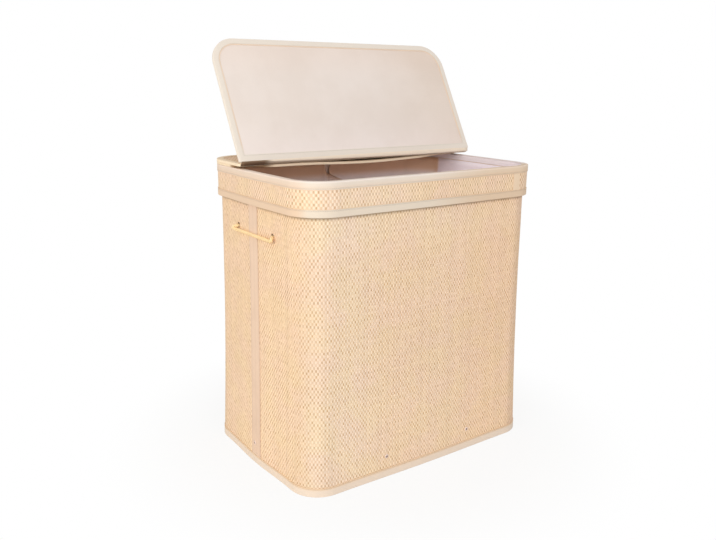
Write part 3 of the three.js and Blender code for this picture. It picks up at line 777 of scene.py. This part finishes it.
def rivet_head(name, at, out, node):
    """A hollow rivet: a rolled rim round a bore painted dark for its shade, on a thin flange, spun and set on
    the wall.
    """
    bm = bmesh.new()
    verts = [bm.verts.new((radius * MM, 0, height * MM)) for radius, height in RIVET_PROFILE]
    edges = [bm.edges.new(pair) for pair in zip(verts, verts[1:])]
    bmesh.ops.spin(bm, geom=verts + edges, axis=(0, 0, 1), cent=(0, 0, 0), dvec=(0, 0, 0), angle=2 * math.pi,
                   steps=28, use_merge=True)
    bmesh.ops.remove_doubles(bm, verts=bm.verts[:], dist=0.01 * MM)
    bmesh.ops.recalc_face_normals(bm, faces=bm.faces[:])
    for face in bm.faces:
        place = face.calc_center_median()
        face.material_index = 1 if place.xy.length < RIVET_BORE and place.z > -1 * MM else 0
    turn = Vector((0, 0, 1)).rotation_difference(out).to_matrix().to_4x4()
    bmesh.ops.transform(bm, matrix=Matrix.Translation(at) @ turn, verts=bm.verts[:])
    piece = make_piece(name, bm, "rivet", rivet_finish, "body", [node])
    piece.data.materials.append(bore_shade_finish)


def rivets():
    for side, name in ((-1, "left"), (1, "right")):
        run = LEFT_MIDDLE if side < 0 else 0.0
        at = wall_at(run, RIVET_Z, -RIVET_ON_TAPE)
        rivet_head(f"{name}_rivet_head", at, Vector((side, 0, 0)), f"{name}_rivet")
        for end, row in ((-1, "front"), (1, "back")):
            half_x, half_y, _, bow = wall_size(RIVET_Z)
            swell = math.cos(math.pi / 2 * RIVET_X / (half_x - CORNER)) ** 2
            at = Vector((side * RIVET_X, end * (half_y + bow * swell + RIVET_ON_CLOTH), RIVET_Z))
            rivet_head(f"{row}_{name}_rivet_head", at, Vector((0, end, 0)), f"{row}_{name}_rivet")


# The rope handles
STRAND_RADIUS = 1.95 * MM
STRAND_OFF = 1.8 * MM
STRAND_TURN = 24 * MM
KNOT_DEPTH = (4.9 + 12 + 4.25) * MM
KNOT_SIZE = 1.62 * MM
KNOT_STRAND = 2.9 * MM


def bezier(points, steps):
    shares = np.linspace(0, 1, steps + 1)[:, None]
    a, b, c, d = (np.array(p) for p in points)
    rest = 1 - shares
    return rest ** 3 * a + 3 * rest ** 2 * shares * b + 3 * rest * shares ** 2 * c + shares ** 3 * d


def even_path(points, step):
    """Points at even distances along a line."""
    run = run_along(points)
    marks = np.linspace(0, run[-1], round(run[-1] / step) + 1)
    return np.column_stack([np.interp(marks, run, points[:, axis]) for axis in range(3)])


def path_frames(path):
    """Two sideways vectors at each point of a path, turned no more than the path turns."""
    ahead = np.gradient(path, axis=0)
    ahead /= np.linalg.norm(ahead, axis=1)[:, None]
    side = np.cross(ahead[0], (0.1, 0.2, 1.0))
    sides = []
    for direction in ahead:
        side = side - direction * np.dot(side, direction)
        side /= np.linalg.norm(side)
        sides.append(side)
    sides = np.array(sides)
    return sides, np.cross(ahead, sides)


def add_tube(bm, path, radius, sides):
    """A tube along a path, with round ends."""
    side, top = path_frames(path)
    run = run_along(path)
    reach = np.clip(np.minimum(run, run[-1] - run) / radius, 0, 1)
    radii = radius * np.sqrt(np.clip(1 - (1 - reach) ** 2, 0.0004, 1))
    angles = np.linspace(0, 2 * np.pi, sides + 1)
    rows = [
        path[at] + radii[at] * (np.cos(angles)[:, None] * side[at] + np.sin(angles)[:, None] * top[at])
        for at in range(len(path))
    ]
    add_grid(bm, rows, radius * angles, run)
    open_edges = [edge for edge in bm.edges if edge.is_boundary]
    bmesh.ops.holes_fill(bm, edges=open_edges, sides=sides + 2)


def rope_handle(name, side):
    """A three-strand rope: a bar outside, two legs through the wall and a knot on each end inside."""
    face = abs(wall_at(HOLE_Y, HANDLE_Z, 0.0).x)
    knot = face - KNOT_DEPTH

    def leg(end):
        """The bend from the hole to the bar: how far out, along and down each of its four points is."""
        bend = [(0, 0, 1.4), (10, 3, 0.5), (9, 23, 9.5), (5, -14, 9)]
        return [(side * (face + out * MM), end * (HOLE_Y + along * MM), HANDLE_Z - drop * MM)
                for out, along, drop in bend]

    ends = [[(side * knot, end * HOLE_Y, HANDLE_Z)] for end in (-1, 1)]
    line = np.vstack([ends[0], bezier(leg(-1), 16), bezier(leg(1)[::-1], 16), ends[1]])
    path = even_path(line, 1.4 * MM)
    for _ in range(2):
        path[1:-1] = 0.25 * path[:-2] + 0.5 * path[1:-1] + 0.25 * path[2:]
    sideways, top = path_frames(path)
    run = run_along(path)
    bm = bmesh.new()
    for strand in range(3):
        angle = side * 2 * np.pi * run / STRAND_TURN + strand * 2 * np.pi / 3
        off = np.cos(angle)[:, None] * sideways + np.sin(angle)[:, None] * top
        add_tube(bm, path + STRAND_OFF * off, STRAND_RADIUS, 12)
    turn = np.linspace(0, 2 * np.pi, 91)
    for end in (-1, 1):
        loop = np.column_stack([
            side * knot - side * 1.15 * MM * np.sin(3 * turn),
            end * HOLE_Y + KNOT_SIZE * (np.sin(turn) + 2 * np.sin(2 * turn)),
            HANDLE_Z + KNOT_SIZE * (np.cos(turn) - 2 * np.cos(2 * turn)),
        ])
        add_tube(bm, loop[:-4], KNOT_STRAND, 10)
    make_piece(f"{name}_rope_handle", bm, "rope", rope_finish, f"{name}_rope", [f"{name}_handle"])


# The liner bags: (height, inset at the side, inset at the front and back), in millimetres
BAG_PLACES = [
    (6.7, 29.7, 19.0), (60.0, 29.0, 18.5), (300.0, 27.5, 17.0), (502.0, 25.7, 15.0), (532.0, 9.5, 9.5),
    (560.0, 7.2, 7.2), (574.0, 6.6, 6.6), (586.0, 6.6, 6.6),
]
BAG_COLUMNS = 300
BAG_FLOOR_ROWS = 14
BAG_WALL_ROWS = 46
BAG_FLOOR = 6.7 * MM
BAG_FOOT = 8.5 * MM
BAG_TOP = 586 * MM
SECTION_STEP = 2 * MM
BAG_CORNER_FLATNESS = 0.6
DIVIDER_TOP = 560 * MM
DIVIDER_SAG = 16 * MM
DIVIDER_GAP = 0.75 * MM
DIVIDER_SWAY = 5 * MM
DIVIDER_REACH = 175 * MM
# The depths of the bags' folds: the broad ones, the small ones and the gathers under the hem
BROAD_FOLD = 3.4 * MM
SMALL_FOLD = 1.5 * MM
GATHER_FOLD = 1.0 * MM


def divider_sway(y, z):
    """How far the two bags' inner walls lean together to one side or the other."""
    hang = smooth(z / 0.05) * smooth((DIVIDER_TOP - z) / 0.12 + 0.25)
    return DIVIDER_SWAY * hang * (drift(y, z * 0.6, 0.16, 2.0) + 0.3 * drift(y, z, 0.07, 6.0))


def bag_section(z, side):
    """The bag's outline at a height: half of the wall's outline, moved in, and the straight divider."""
    places = np.array(BAG_PLACES)
    side_inset = np.interp(z / MM, places[:, 0], places[:, 1]) * MM
    front_inset = np.interp(z / MM, places[:, 0], places[:, 2]) * MM
    ring = wall_ring(z, lerp(front_inset, side_inset, SIDE_SHARE))[:-1]
    for stretch in (1, 3, 5, 7):
        corner = np.flatnonzero(KINDS == stretch)
        start, end = ring[corner[0]].copy(), ring[(corner[-1] + 1) % COLUMNS].copy()
        chord = lerp(start, end, SHARES[corner][:, None])
        ring[corner] = lerp(ring[corner], chord, BAG_CORNER_FLATNESS)
    if side > 0:
        half = np.roll(ring, COLUMNS // 2, axis=0)
        half = half[half[:, 0] > DIVIDER_GAP]
    else:
        half = ring[ring[:, 0] < -DIVIDER_GAP]
    start, end = half[0].copy(), half[-1].copy()
    start[0] = end[0] = side * DIVIDER_GAP
    divider = np.linspace(end, start, 60)
    loop = np.vstack([[start], half, divider])
    run = run_along(loop)
    marks = np.linspace(0, run[-1], BAG_COLUMNS, endpoint=False)
    even = np.column_stack([np.interp(marks, run, loop[:, axis]) for axis in range(2)])
    for _ in range(4):
        even = (np.roll(even, 1, axis=0) + 2 * even + np.roll(even, -1, axis=0)) / 4
    return even, run[-1]


def on_divider(x):
    """1 on the divider and 0 on the outer walls, eased over the bag's inner corners."""
    return 1 - smooth((abs(x) - 1.5 * MM) / (7 * MM))


def bag_floor(base, centre, side):
    """Rings from the middle of the floor outwards, with soft humps."""
    rows = []
    for step in range(BAG_FLOOR_ROWS):
        share = max(step / BAG_FLOOR_ROWS, 0.0005)
        ring = centre + (base - centre) * share * 0.985
        lift = [0.4 * MM + 1.2 * MM * max(0.0, drift(x, y, 0.05, 3.0 + side)) * share for x, y in ring]
        rows.append(np.column_stack([ring, BAG_FLOOR + np.array(lift)]))
    return rows


def bag_walls(side):
    """Rings from the floor up to the hem, which dips along the divider."""
    sections = {}

    def section(z):
        key = round(z / SECTION_STEP)
        if key not in sections:
            sections[key] = bag_section(key * SECTION_STEP, side)[0]
        return sections[key]

    middle = section(RIM / 2)
    inner = on_divider(middle[:, 0])
    dips = DIVIDER_TOP - DIVIDER_SAG * (1 - (middle[:, 1] / DIVIDER_REACH) ** 2)
    tops = lerp(BAG_TOP, dips, inner)
    rows = []
    for step in range(BAG_WALL_ROWS + 1):
        eased = (step / BAG_WALL_ROWS) ** 0.85
        ring = []
        for column, top in enumerate(tops):
            z = lerp(BAG_FOOT, top, eased)
            blend = z / SECTION_STEP - round(z / SECTION_STEP)
            x, y = lerp(section(z)[column], section(z + SECTION_STEP)[column], blend)
            ring.append((x, y, z))
        rows.append(np.array(ring))
    return rows


def hang_folds(point, run, centre, side):
    """A point of the bag's wall after its folds, the divider's sway and the space between the two bags."""
    x, y, z = point
    inner = on_divider(x)
    hang = smooth((572 * MM - z) / (60 * MM))
    foot = smooth((z - 8 * MM) / (40 * MM))
    fold = BROAD_FOLD * noise.noise(Vector((x / 0.045, y / 0.045, z / 0.30 + 5 * side)))
    fold += SMALL_FOLD * noise.noise(Vector((x / 0.018, y / 0.018, z / 0.11 + 3 * side)))
    gather = smooth((z - 440 * MM) / (70 * MM))
    fold += GATHER_FOLD * math.sin(run / (17 * MM) + 2.0 * math.sin(z / 0.09)) * gather
    push = (0.6 * MM + abs(fold)) * hang * foot * (1 - inner)
    away = centre - (x, y)
    x, y = (x, y) + away / np.linalg.norm(away) * push
    sag = divider_sway(y, z) * inner
    thick = side * (0.4 * MM + 1.2 * MM * abs(drift(y, z, 0.08, 11.0 + side))) * inner * foot
    return x + sag + thick, y, z


def liner_bag(name, side):
    """A cloth bag lofted from its sections: a soft floor, hanging walls with folds, and a hem."""
    base, length = bag_section(BAG_FLOOR, side)
    centre = base.mean(axis=0)
    across = np.linspace(0, length, BAG_COLUMNS + 1)
    walls = [
        [hang_folds(point, run, centre, side) for point, run in zip(ring, across)]
        for ring in bag_walls(side)
    ]
    cloth = np.array(bag_floor(base, centre, side) + walls)
    cloth = np.concatenate([cloth, cloth[:, :1]], axis=1)
    bm = add_grid(bmesh.new(), cloth, across, run_along(cloth[:, 20]))
    middle = [vert for vert in bm.verts if (vert.co.xy - Vector(centre)).length < 1 * MM]
    bmesh.ops.pointmerge(bm, verts=middle, merge_co=(centre[0], centre[1], 7.1 * MM))
    make_piece(f"{name}_bag_cloth", bm, "lining", bag_cloth, "body", [f"{name}_liner_bag"], 0.9 * MM)


# The hook strips: how far each end stops from the middle of the front or back, their inset and heights
HOOK_STRIP_END = 26 * MM
HOOK_STRIP_INSET = 4.9 * MM
HOOK_STRIP_HEIGHTS = np.array([574, 578, 582, 586]) * MM


def hook_strips():
    half = WALL_RUN[COLUMNS // 4] - HOOK_STRIP_END
    runs = np.linspace(-half, half, 151)
    heights = HOOK_STRIP_HEIGHTS
    for name, middle in (("left", LEFT_MIDDLE), ("right", 0.0)):
        points = [
            [wall_at((middle + run) % PERIMETER, z, HOOK_STRIP_INSET) for run in runs]
            for z in heights
        ]
        grid_piece(f"{name}_hook_strip_pile", points, runs + half, heights - heights[0], "hook_strip",
                   pile_finish, "body", [f"{name}_hook_strip"], 0.8 * MM, 0.15 * MM, closed=False)


# The lid's skirt: the heights of its cloths, their insets and the heights of the patch on the seam
SKIRT_LOW = 538.1 * MM
SKIRT_HIGH = 598.9 * MM
SKIRT_OUTSIDE = -6.8 * MM
SKIRT_INSIDE = -2.8 * MM
SEAM_PATCH_SPAN = (551.3 * MM, 585.7 * MM)


def lid_skirt():
    """The skirt's cloths and tapes, whose grids start under the seam patch."""
    half_run = TOP_HALF[0] - CORNER
    first = (FRONT_FIRST + round((SEAM_X / half_run + 1) / 2 * FRONT_COLUMNS)) % COLUMNS
    heights = np.linspace(SKIRT_LOW, SKIRT_HIGH, 9)
    rows = wall_rows([(SKIRT_OUTSIDE, z) for z in heights], first, False)
    grid_piece("skirt_cloth", rows, WALL_RUN, heights, "weave", straw_lid, "lid", ["lid_skirt_cover"],
               1.0 * MM, 0.2 * MM)
    rows = wall_rows([(SKIRT_INSIDE, z) for z in heights], first, False)[:, ::-1]
    grid_piece("skirt_lining_cloth", rows, WALL_RUN, heights, "lining", wall_lining, "lid",
               ["lid_skirt_lining"], LINING_THICKNESS)
    seam = profile_length(HEM_TAPE) - TAPE_SEAM
    tape = sewn_tape("skirt hem tape", HEM_CREAM, [seam], tints=HEM_TINTS)
    wall_tape("skirt_hem_tape", HEM_TAPE, tape, "lid", ["lid_lower_binding"], first)
    # The rim tape is a little deeper in colour low on its outer side, and carries a painted highlight along
    # its top
    edges = [(3 * MM, 7 * MM, RIM_LOW), (15 * MM, 5 * MM, RIM_HIGHLIGHT)]
    tape = sewn_tape("rim tape", CREAM, [TAPE_SEAM], edges=edges, tints=RIM_TINTS_AND_PAINTED_LIGHT)
    wall_tape("rim_tape", RIM_TAPE, tape, "lid", ["lid_rim_binding"], first)
    tape = sewn_tape("seam patch", SEAM_CREAM)
    wall_patch("skirt_seam_patch", front_run(SEAM_X), 9 * MM, *SEAM_PATCH_SPAN, -7.9 * MM, tape, "lid",
               ["skirt_seam_tape"], ripple=False)


# Flat panels of the lid
LEAST_BEND = 0.35 * MM
PANEL_INSET = 1.1 * MM
# A panel tape's leg on each face and its bend round the edge, in millimetres
PANEL_TAPE_LEG = 14
PANEL_TAPE_BEND = 0.9


class Panel:
    """The outline of a flat panel with round corners."""

    def __init__(self, left, right, front, back, front_radius, back_radius):
        self.sides = (left * MM, right * MM, front * MM, back * MM)
        self.radii = (front_radius * MM, back_radius * MM)

    def corner(self, number, inset):
        """A corner, counted from the right rear one: its bend after an inset, and the bend's centre."""
        left, right, front, back = self.sides
        side, end = ((1, 1), (-1, 1), (-1, -1), (1, -1))[number]
        radius = self.radii[end > 0]
        bend = max(radius - inset, LEAST_BEND)
        reach = max(inset, radius - bend) + bend
        x, y = (left, right)[side > 0], (front, back)[end > 0]
        return bend, (x - side * reach, y - end * reach)

    def ring(self, inset, spacing=8 * MM):
        """The outline moved in by an inset, anticlockwise from the right rear corner."""
        left, right, front, back = self.sides
        bends = []
        for number in range(4):
            bend, centre = self.corner(number, inset)
            steps = 16 if self.radii[number < 2] > 20 * MM else 5
            bends.append(arc(centre, bend, 90 * number, 90 * number + 90, steps))
        points = []
        for number, bend in enumerate(bends):
            after = (number + 1) % 4
            span = (right - left, back - front)[number % 2] - self.radii[number < 2] - self.radii[after < 2]
            steps = max(2, round(span / spacing))
            straight = np.linspace(bend[-1], bends[after][0], steps, endpoint=False)
            points.extend([*bend, *straight[1:]])
        return np.array([*points, points[0]])

    def sheet(self, inset, spacing=7 * MM):
        """A grid over the panel whose outer corners are drawn in to their arcs."""
        left, right, front, back = self.sides
        low = np.array([left + inset, front + inset])
        high = np.array([right - inset, back - inset])
        counts = np.maximum(8, np.round((high - low) / spacing)).astype(int)
        xs = np.linspace(low[0], high[0], counts[0] + 1)
        ys = np.linspace(low[1], high[1], counts[1] + 1)
        rows = np.empty((len(ys), len(xs), 2))
        for row, y in enumerate(ys):
            sign_y = 1 if y > (front + back) / 2 else -1
            bend = max(self.radii[sign_y > 0] - inset, LEAST_BEND)
            over_y = max(low[1] + bend - y, y - high[1] + bend, 0.0)
            for column, x in enumerate(xs):
                sign_x = 1 if x > 0 else -1
                over_x = max(low[0] + bend - x, x - high[0] + bend, 0.0)
                new_x = over_x * math.sqrt(1 - over_y ** 2 / (2 * bend ** 2))
                new_y = over_y * math.sqrt(1 - over_x ** 2 / (2 * bend ** 2))
                rows[row, column] = (x - sign_x * (over_x - new_x), y - sign_y * (over_y - new_y))
        return rows


def with_height(rows, z):
    return np.concatenate([rows, np.full((*rows.shape[:-1], 1), z)], axis=-1)


def placed(rows, place):
    """Every point of some rows, moved by a function."""
    return np.array([[place(Vector(point)) for point in row] for row in rows])


def cloth_grid(panel, inset, z, facing, place, spacing=7 * MM, lift=None):
    """A sheet over a panel's upper or lower face, moved into place: its points and its lengths both ways."""
    flat = panel.sheet(inset, spacing)
    points = with_height(flat, z)
    if lift:
        for point in points.reshape(-1, 3):
            point[2] += lift(point[0], point[1])
    points = placed(points, place)
    across, along = flat[..., 0] - panel.sides[0], flat[..., 1] - panel.sides[2]
    if facing < 0:
        points, across, along = points[:, ::-1], across[:, ::-1], along[:, ::-1]
    return points, across, along


def panel_cloth(name, panel, z, facing, finish, slot, body, node, place, swell=0.0, thickness=0.6 * MM):
    """A cloth laid on one face of a panel, a little swollen inside its tape."""
    left, right, front, back = panel.sides

    def lift(x, y):
        edge = min(x - left, right - x, y - front, back - y)
        puff = smooth((edge - 12 * MM) / (6 * MM))
        return facing * swell * puff * (0.55 + 0.45 * drift(x, y, 0.11, 5.0 + facing))

    points, across, along = cloth_grid(panel, PANEL_INSET, z, facing, place, lift=lift)
    grid_piece(name, points, across, along, slot, finish, body, [node], thickness, closed=False)


def panel_tape(name, panel, low, high, finish, body, node, place):
    """A tape folded over all the edges of a panel."""
    leg, bend = PANEL_TAPE_LEG, PANEL_TAPE_BEND
    profile = [(leg, low), (leg / 2, low), *arc((bend, low + bend), bend, -90, -180, 4),
               *arc((bend, high - bend), bend, 180, 90, 4), (leg / 2, high), (leg, high)]
    rows = [with_height(panel.ring(inset * MM), z * MM) for inset, z in profile]
    across, along = run_along(panel.ring(0.0)), run_along(np.array(profile) * MM)
    grid_piece(name, placed(rows, place), across, along, "edge_tape", finish, body, [node], TAPE_THICKNESS,
               0.15 * MM)


SHELF = Panel(-291.9, 291.9, 40, 196.9, 4, 67.9)
REAR = Panel(-296, 296, 38.2, 191.9, 4, 72)
FLAP = Panel(-297, 297, -264, -1.2, 54, 4)
FLAP_FACES = (-6.7, -0.3)
SHELF_SAG = 4.5 * MM
SAG_MIDDLE = 15 * MM
SAG_REACH = 200 * MM
CORNER_DRAW = 32 * MM
# The shelf's front edge, and how far back from it the sag and the drawn corners reach
SHELF_FRONT = 40 * MM
SAG_DEPTH = 95 * MM
CORNER_DEPTH = 110 * MM


def as_built(point):
    return point


def sagging(point):
    """The shelf's front edge hangs a little between its ends, and its corners are drawn back."""
    off = min(1.0, abs(point.x - SAG_MIDDLE) / SAG_REACH)
    near = 1 - smooth((point.y - SHELF_FRONT) / SAG_DEPTH)
    point.z -= SHELF_SAG * math.cos(math.pi / 2 * off) ** 2 * near
    draw = smooth((-point.x - 210 * MM) / (82 * MM)) + smooth((point.x - 140 * MM) / (140 * MM))
    point.y += CORNER_DRAW * draw * (1 - smooth((point.y - SHELF_FRONT) / CORNER_DEPTH))
    return point


FLAP_PLACE = Matrix.Translation(HINGE) @ Matrix.Rotation(-FLAP_OPEN, 4, "X")


def opened(point):
    return FLAP_PLACE @ point


def lid_panels():
    tape = sewn_tape("panel tape", PEACH, [TAPE_SEAM])
    # The shelf tape carries a painted shade on its front left corner
    shelf_tape = sewn_tape("shelf tape", PEACH, [TAPE_SEAM], tints=SHELF_CORNER_SHADE)
    thickness = FLAP_FACES[1] - FLAP_FACES[0]
    length = (2 * PANEL_TAPE_LEG + thickness - 4 * PANEL_TAPE_BEND + math.pi * PANEL_TAPE_BEND) * MM
    edges = [(0.0, 4 * MM, PEACH_EDGE), (length, 4 * MM, PEACH_EDGE)]
    flap_tape = sewn_tape("flap tape", FLAP_CREAM, [TAPE_SEAM, length - TAPE_SEAM], 0.04, 0.5, edges, 0.625)
    panel_cloth("shelf_underside_cloth", SHELF, 601.3 * MM, -1, shelf_lining, "lining", "lid",
                "lid_shelf_lining", sagging)
    shelf_board()
    panel_tape("shelf_edge_tape", SHELF, 600.3, 605.4, shelf_tape, "lid", "lid_shelf_binding", sagging)
    panel_cloth("rear_panel_cloth", REAR, 610.0 * MM, 1, straw_lid, "weave", "lid", "rear_panel_cover",
                as_built, 0.5 * MM, 1.0 * MM)
    panel_tape("rear_panel_tape", REAR, 605.7, 611.2, tape, "lid", "rear_panel_binding", as_built)
    panel_cloth("flap_lining_cloth", FLAP, -5.7 * MM, -1, satin_lining, "flap_lining", "flap",
                "flap_lining", opened, 0.9 * MM)
    panel_cloth("flap_woven_cloth", FLAP, -1.4 * MM, 1, straw_lid, "weave", "flap", "flap_cover",
                opened, 0.6 * MM, 1.0 * MM)
    panel_tape("flap_edge_tape", FLAP, *FLAP_FACES, flap_tape, "flap", "flap_binding", opened)


def shelf_board():
    """The shelf's board, bent to the same sag as its cloths."""
    bm = bmesh.new()
    for z, facing in ((602.1 * MM, -1), (604.1 * MM, 1)):
        points, across, along = cloth_grid(SHELF, PANEL_INSET, z, facing, sagging, 12 * MM)
        add_grid(bm, points, across, along, closed=False)
    bmesh.ops.bridge_loops(bm, edges=[edge for edge in bm.edges if edge.is_boundary])
    make_piece("shelf_board_sagged", bm, "board", board_finish, "lid", ["lid_shelf_board"])


def hinge_cloth():
    """The cloth that joins the rear panel and the flap, folded along the hinge line."""
    xs = np.linspace(-292 * MM, 292 * MM, 74)
    ridge = [(52, 611.5), (47, 611.5), (42, 611.5), (39, 611.5), (38, 611.75), (37.7, 612.3)]
    for reach in (2.5, 5, 10, 15):
        turned = Matrix.Rotation(-FLAP_OPEN, 3, "X") @ Vector((0, -reach, -0.05))
        ridge.append((37 + turned.y, 611.5 + turned.z))
    points = [[(x, y * MM, z * MM) for x in xs] for y, z in ridge]
    along = run_along(np.array(ridge) * MM)
    bm = add_grid(bmesh.new(), points, xs - xs[0], along, closed=False)
    bmesh.ops.reverse_faces(bm, faces=bm.faces[:])
    piece = make_piece("hinge_cloth", bm, "weave", straw_lid, None, ["lid_hinge_fold"], 0.25 * MM)
    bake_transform(piece)


# The inner fold's drop at places along the hinge, and its upper and rear edges, in millimetres
FOLD_DROP = np.array([(-297, 1.0), (-150, 4.6), (0, 6.7), (150, 7.8), (297, 6.5)])
FOLD_TOP = (31.75, 615.6)
FOLD_BACK = (38.1, 606.3)
# Its section: the share of the drop, the belly towards the front and the share of the way back
FOLD_CURVE = [
    (-0.25, 0.0, 0.0), (0.0, 0.1, 0.0), (0.25, 0.75, 0.0), (0.5, 1.0, 0.0), (0.75, 0.9, 0.0),
    (0.92, 0.45, 0.0), (1.0, -0.4, 0.08), (1.0, -1.0, 0.35), (1.0, -1.0, 0.7), (1.0, -1.0, 1.0),
]


def inner_fold_cloth():
    """The loose inner cloth of the fold, which hangs in a shallow curve under the open flap."""
    xs = np.linspace(-293, 293, 75)
    drops = np.interp(xs, FOLD_DROP[:, 0], FOLD_DROP[:, 1])
    for _ in range(60):
        drops[1:-1] = (drops[:-2] + drops[1:-1] + drops[2:]) / 3
    points = []
    for fall, belly, back in FOLD_CURVE:
        row = []
        for x, drop in zip(xs, drops):
            y = FOLD_TOP[0] - belly * drop / 7 - 0.1
            z = FOLD_TOP[1] - fall * drop
            row.append((x * MM, lerp(y, FOLD_BACK[0], back) * MM, lerp(z, FOLD_BACK[1], back) * MM))
        points.append(row)
    bm = add_grid(bmesh.new(), points, (xs + 293) * MM, np.arange(len(points)) * MM, closed=False)
    bmesh.ops.reverse_faces(bm, faces=bm.faces[:])
    # Painted shade: the fold cloth's rear part and its left end are coloured dark
    finish = sewn_tape("fold cloth", FOLD_CREAM, tone=0.03, edges=[(9 * MM, 4 * MM, FOLD_SHADE)],
                       tints=FOLD_END_SHADE)
    piece = make_piece("inner_fold_cloth", bm, "edge_tape", finish, None, [], 0.3 * MM)
    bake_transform(piece)


def dress_nodes():
    """Finishes for the solids that stay."""
    for name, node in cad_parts.items():
        finish = panel_finish if name == "floor_panel" else board_finish
        for place in node.material_slots:
            place.material = finish


# Camera, light and floor
CAMERA_PLACE = (-0.9618, -1.2816, 0.7771)
# Turn to the right, dip and roll in degrees
CAMERA_ANGLES = (35.71, 14.31, 0.665)
CAMERA_LENS = 38.306
LAMP_SIZE = (1.8, 1.4)
WORLD_LEVEL = 0.62


def add_camera():
    turn, dip, roll = (math.radians(angle) for angle in CAMERA_ANGLES)
    ahead = Vector((math.sin(turn) * math.cos(dip), math.cos(turn) * math.cos(dip), -math.sin(dip)))
    right = ahead.cross(Vector((0, 0, 1))).normalized()
    up = right.cross(ahead)
    right, up = right * math.cos(roll) + up * math.sin(roll), up * math.cos(roll) - right * math.sin(roll)
    data = bpy.data.cameras.new("camera")
    data.sensor_width = 36
    data.lens = CAMERA_LENS
    data.clip_end = 60
    camera = add_object("camera", data)
    turned = Matrix((right, up, -ahead)).transposed().to_4x4()
    camera.matrix_world = Matrix.Translation(CAMERA_PLACE) @ turned
    bpy.context.scene.camera = camera


def add_lamp(name, place, target, power, colour):
    data = bpy.data.lights.new(name, "AREA")
    data.shape = "RECTANGLE"
    data.size, data.size_y = LAMP_SIZE
    data.energy = power
    data.color = colour
    lamp = add_object(name, data)
    aim = (Vector(target) - Vector(place)).to_track_quat("-Z", "Y")
    lamp.matrix_world = Matrix.Translation(place) @ aim.to_matrix().to_4x4()


def background_ray(tree):
    """1 for rays that see the background: from the camera, or through glass and off metal."""
    path = tree.nodes.new("ShaderNodeLightPath")
    total = path.outputs["Is Camera Ray"]
    for key in ("Is Glossy Ray", "Is Transmission Ray"):
        join = tree.nodes.new("ShaderNodeMath")
        join.operation = "MAXIMUM"
        tree.links.new(total, join.inputs[0])
        tree.links.new(path.outputs[key], join.inputs[1])
        total = join.outputs[0]
    return total


def show_mixed(tree, share, shade, white, output):
    """The output shows a shader, and a white one by a share."""
    mix = tree.nodes.new("ShaderNodeMixShader")
    for socket, source in zip(mix.inputs, (share, shade.outputs[0], white.outputs[0])):
        tree.links.new(source, socket)
    tree.links.new(mix.outputs[0], tree.nodes[output].inputs["Surface"])


def add_world(level):
    world = bpy.data.worlds.new("studio")
    world.use_nodes = True
    tree = world.node_tree
    shade = tree.nodes["Background"]
    white = tree.nodes.new("ShaderNodeBackground")
    for node, strength in ((shade, level), (white, 1.0)):
        node.inputs["Color"].default_value = (1, 1, 1, 1)
        node.inputs["Strength"].default_value = strength
    show_mixed(tree, background_ray(tree), shade, white, "World Output")
    bpy.context.scene.world = world


def add_floor():
    """A pale floor that keeps a soft shadow and fades into the white background."""
    bm = bmesh.new()
    bmesh.ops.create_circle(bm, cap_ends=True, segments=96, radius=14.0)
    mesh = bpy.data.meshes.new("floor")
    bm.to_mesh(mesh)
    bm.free()
    floor = add_object("floor", mesh)
    finish = Finish("pale floor", 0.0)
    finish.shader.inputs["Roughness"].default_value = 0.9
    finish.shader.inputs["Base Color"].default_value = (0.86, 0.85, 0.84, 1)
    tree = finish.tree
    far = finish.add("ShaderNodeVectorMath", {"operation": "LENGTH"}, [finish.object_place()], "Value")
    share = finish.ease(far, 0.30, 0.62, 0.85, 1.0) * Term(finish, background_ray(tree))
    white = tree.nodes.new("ShaderNodeEmission")
    show_mixed(tree, share.socket, finish.shader, white, "Material Output")
    mesh.materials.append(finish.material)


dress_nodes()
body_cover()
body_tapes()
wall_lining_cloth()
rivets()
rope_handle("left", -1)
rope_handle("right", 1)
liner_bag("left", -1)
liner_bag("right", 1)
hook_strips()
lid_skirt()
lid_panels()
hinge_cloth()
inner_fold_cloth()

add_camera()
add_world(WORLD_LEVEL)
add_lamp("side lamp", (-2.5, -0.8, 1.2), (0, 0, 0.35), 26, (1.0, 0.95, 0.85))
add_lamp("front lamp", (-0.8, -2.6, 1.8), (0, 0, 0.33), 22, (1.0, 0.99, 1.0))
add_floor()
bpy.context.scene.view_settings.view_transform = "Standard"
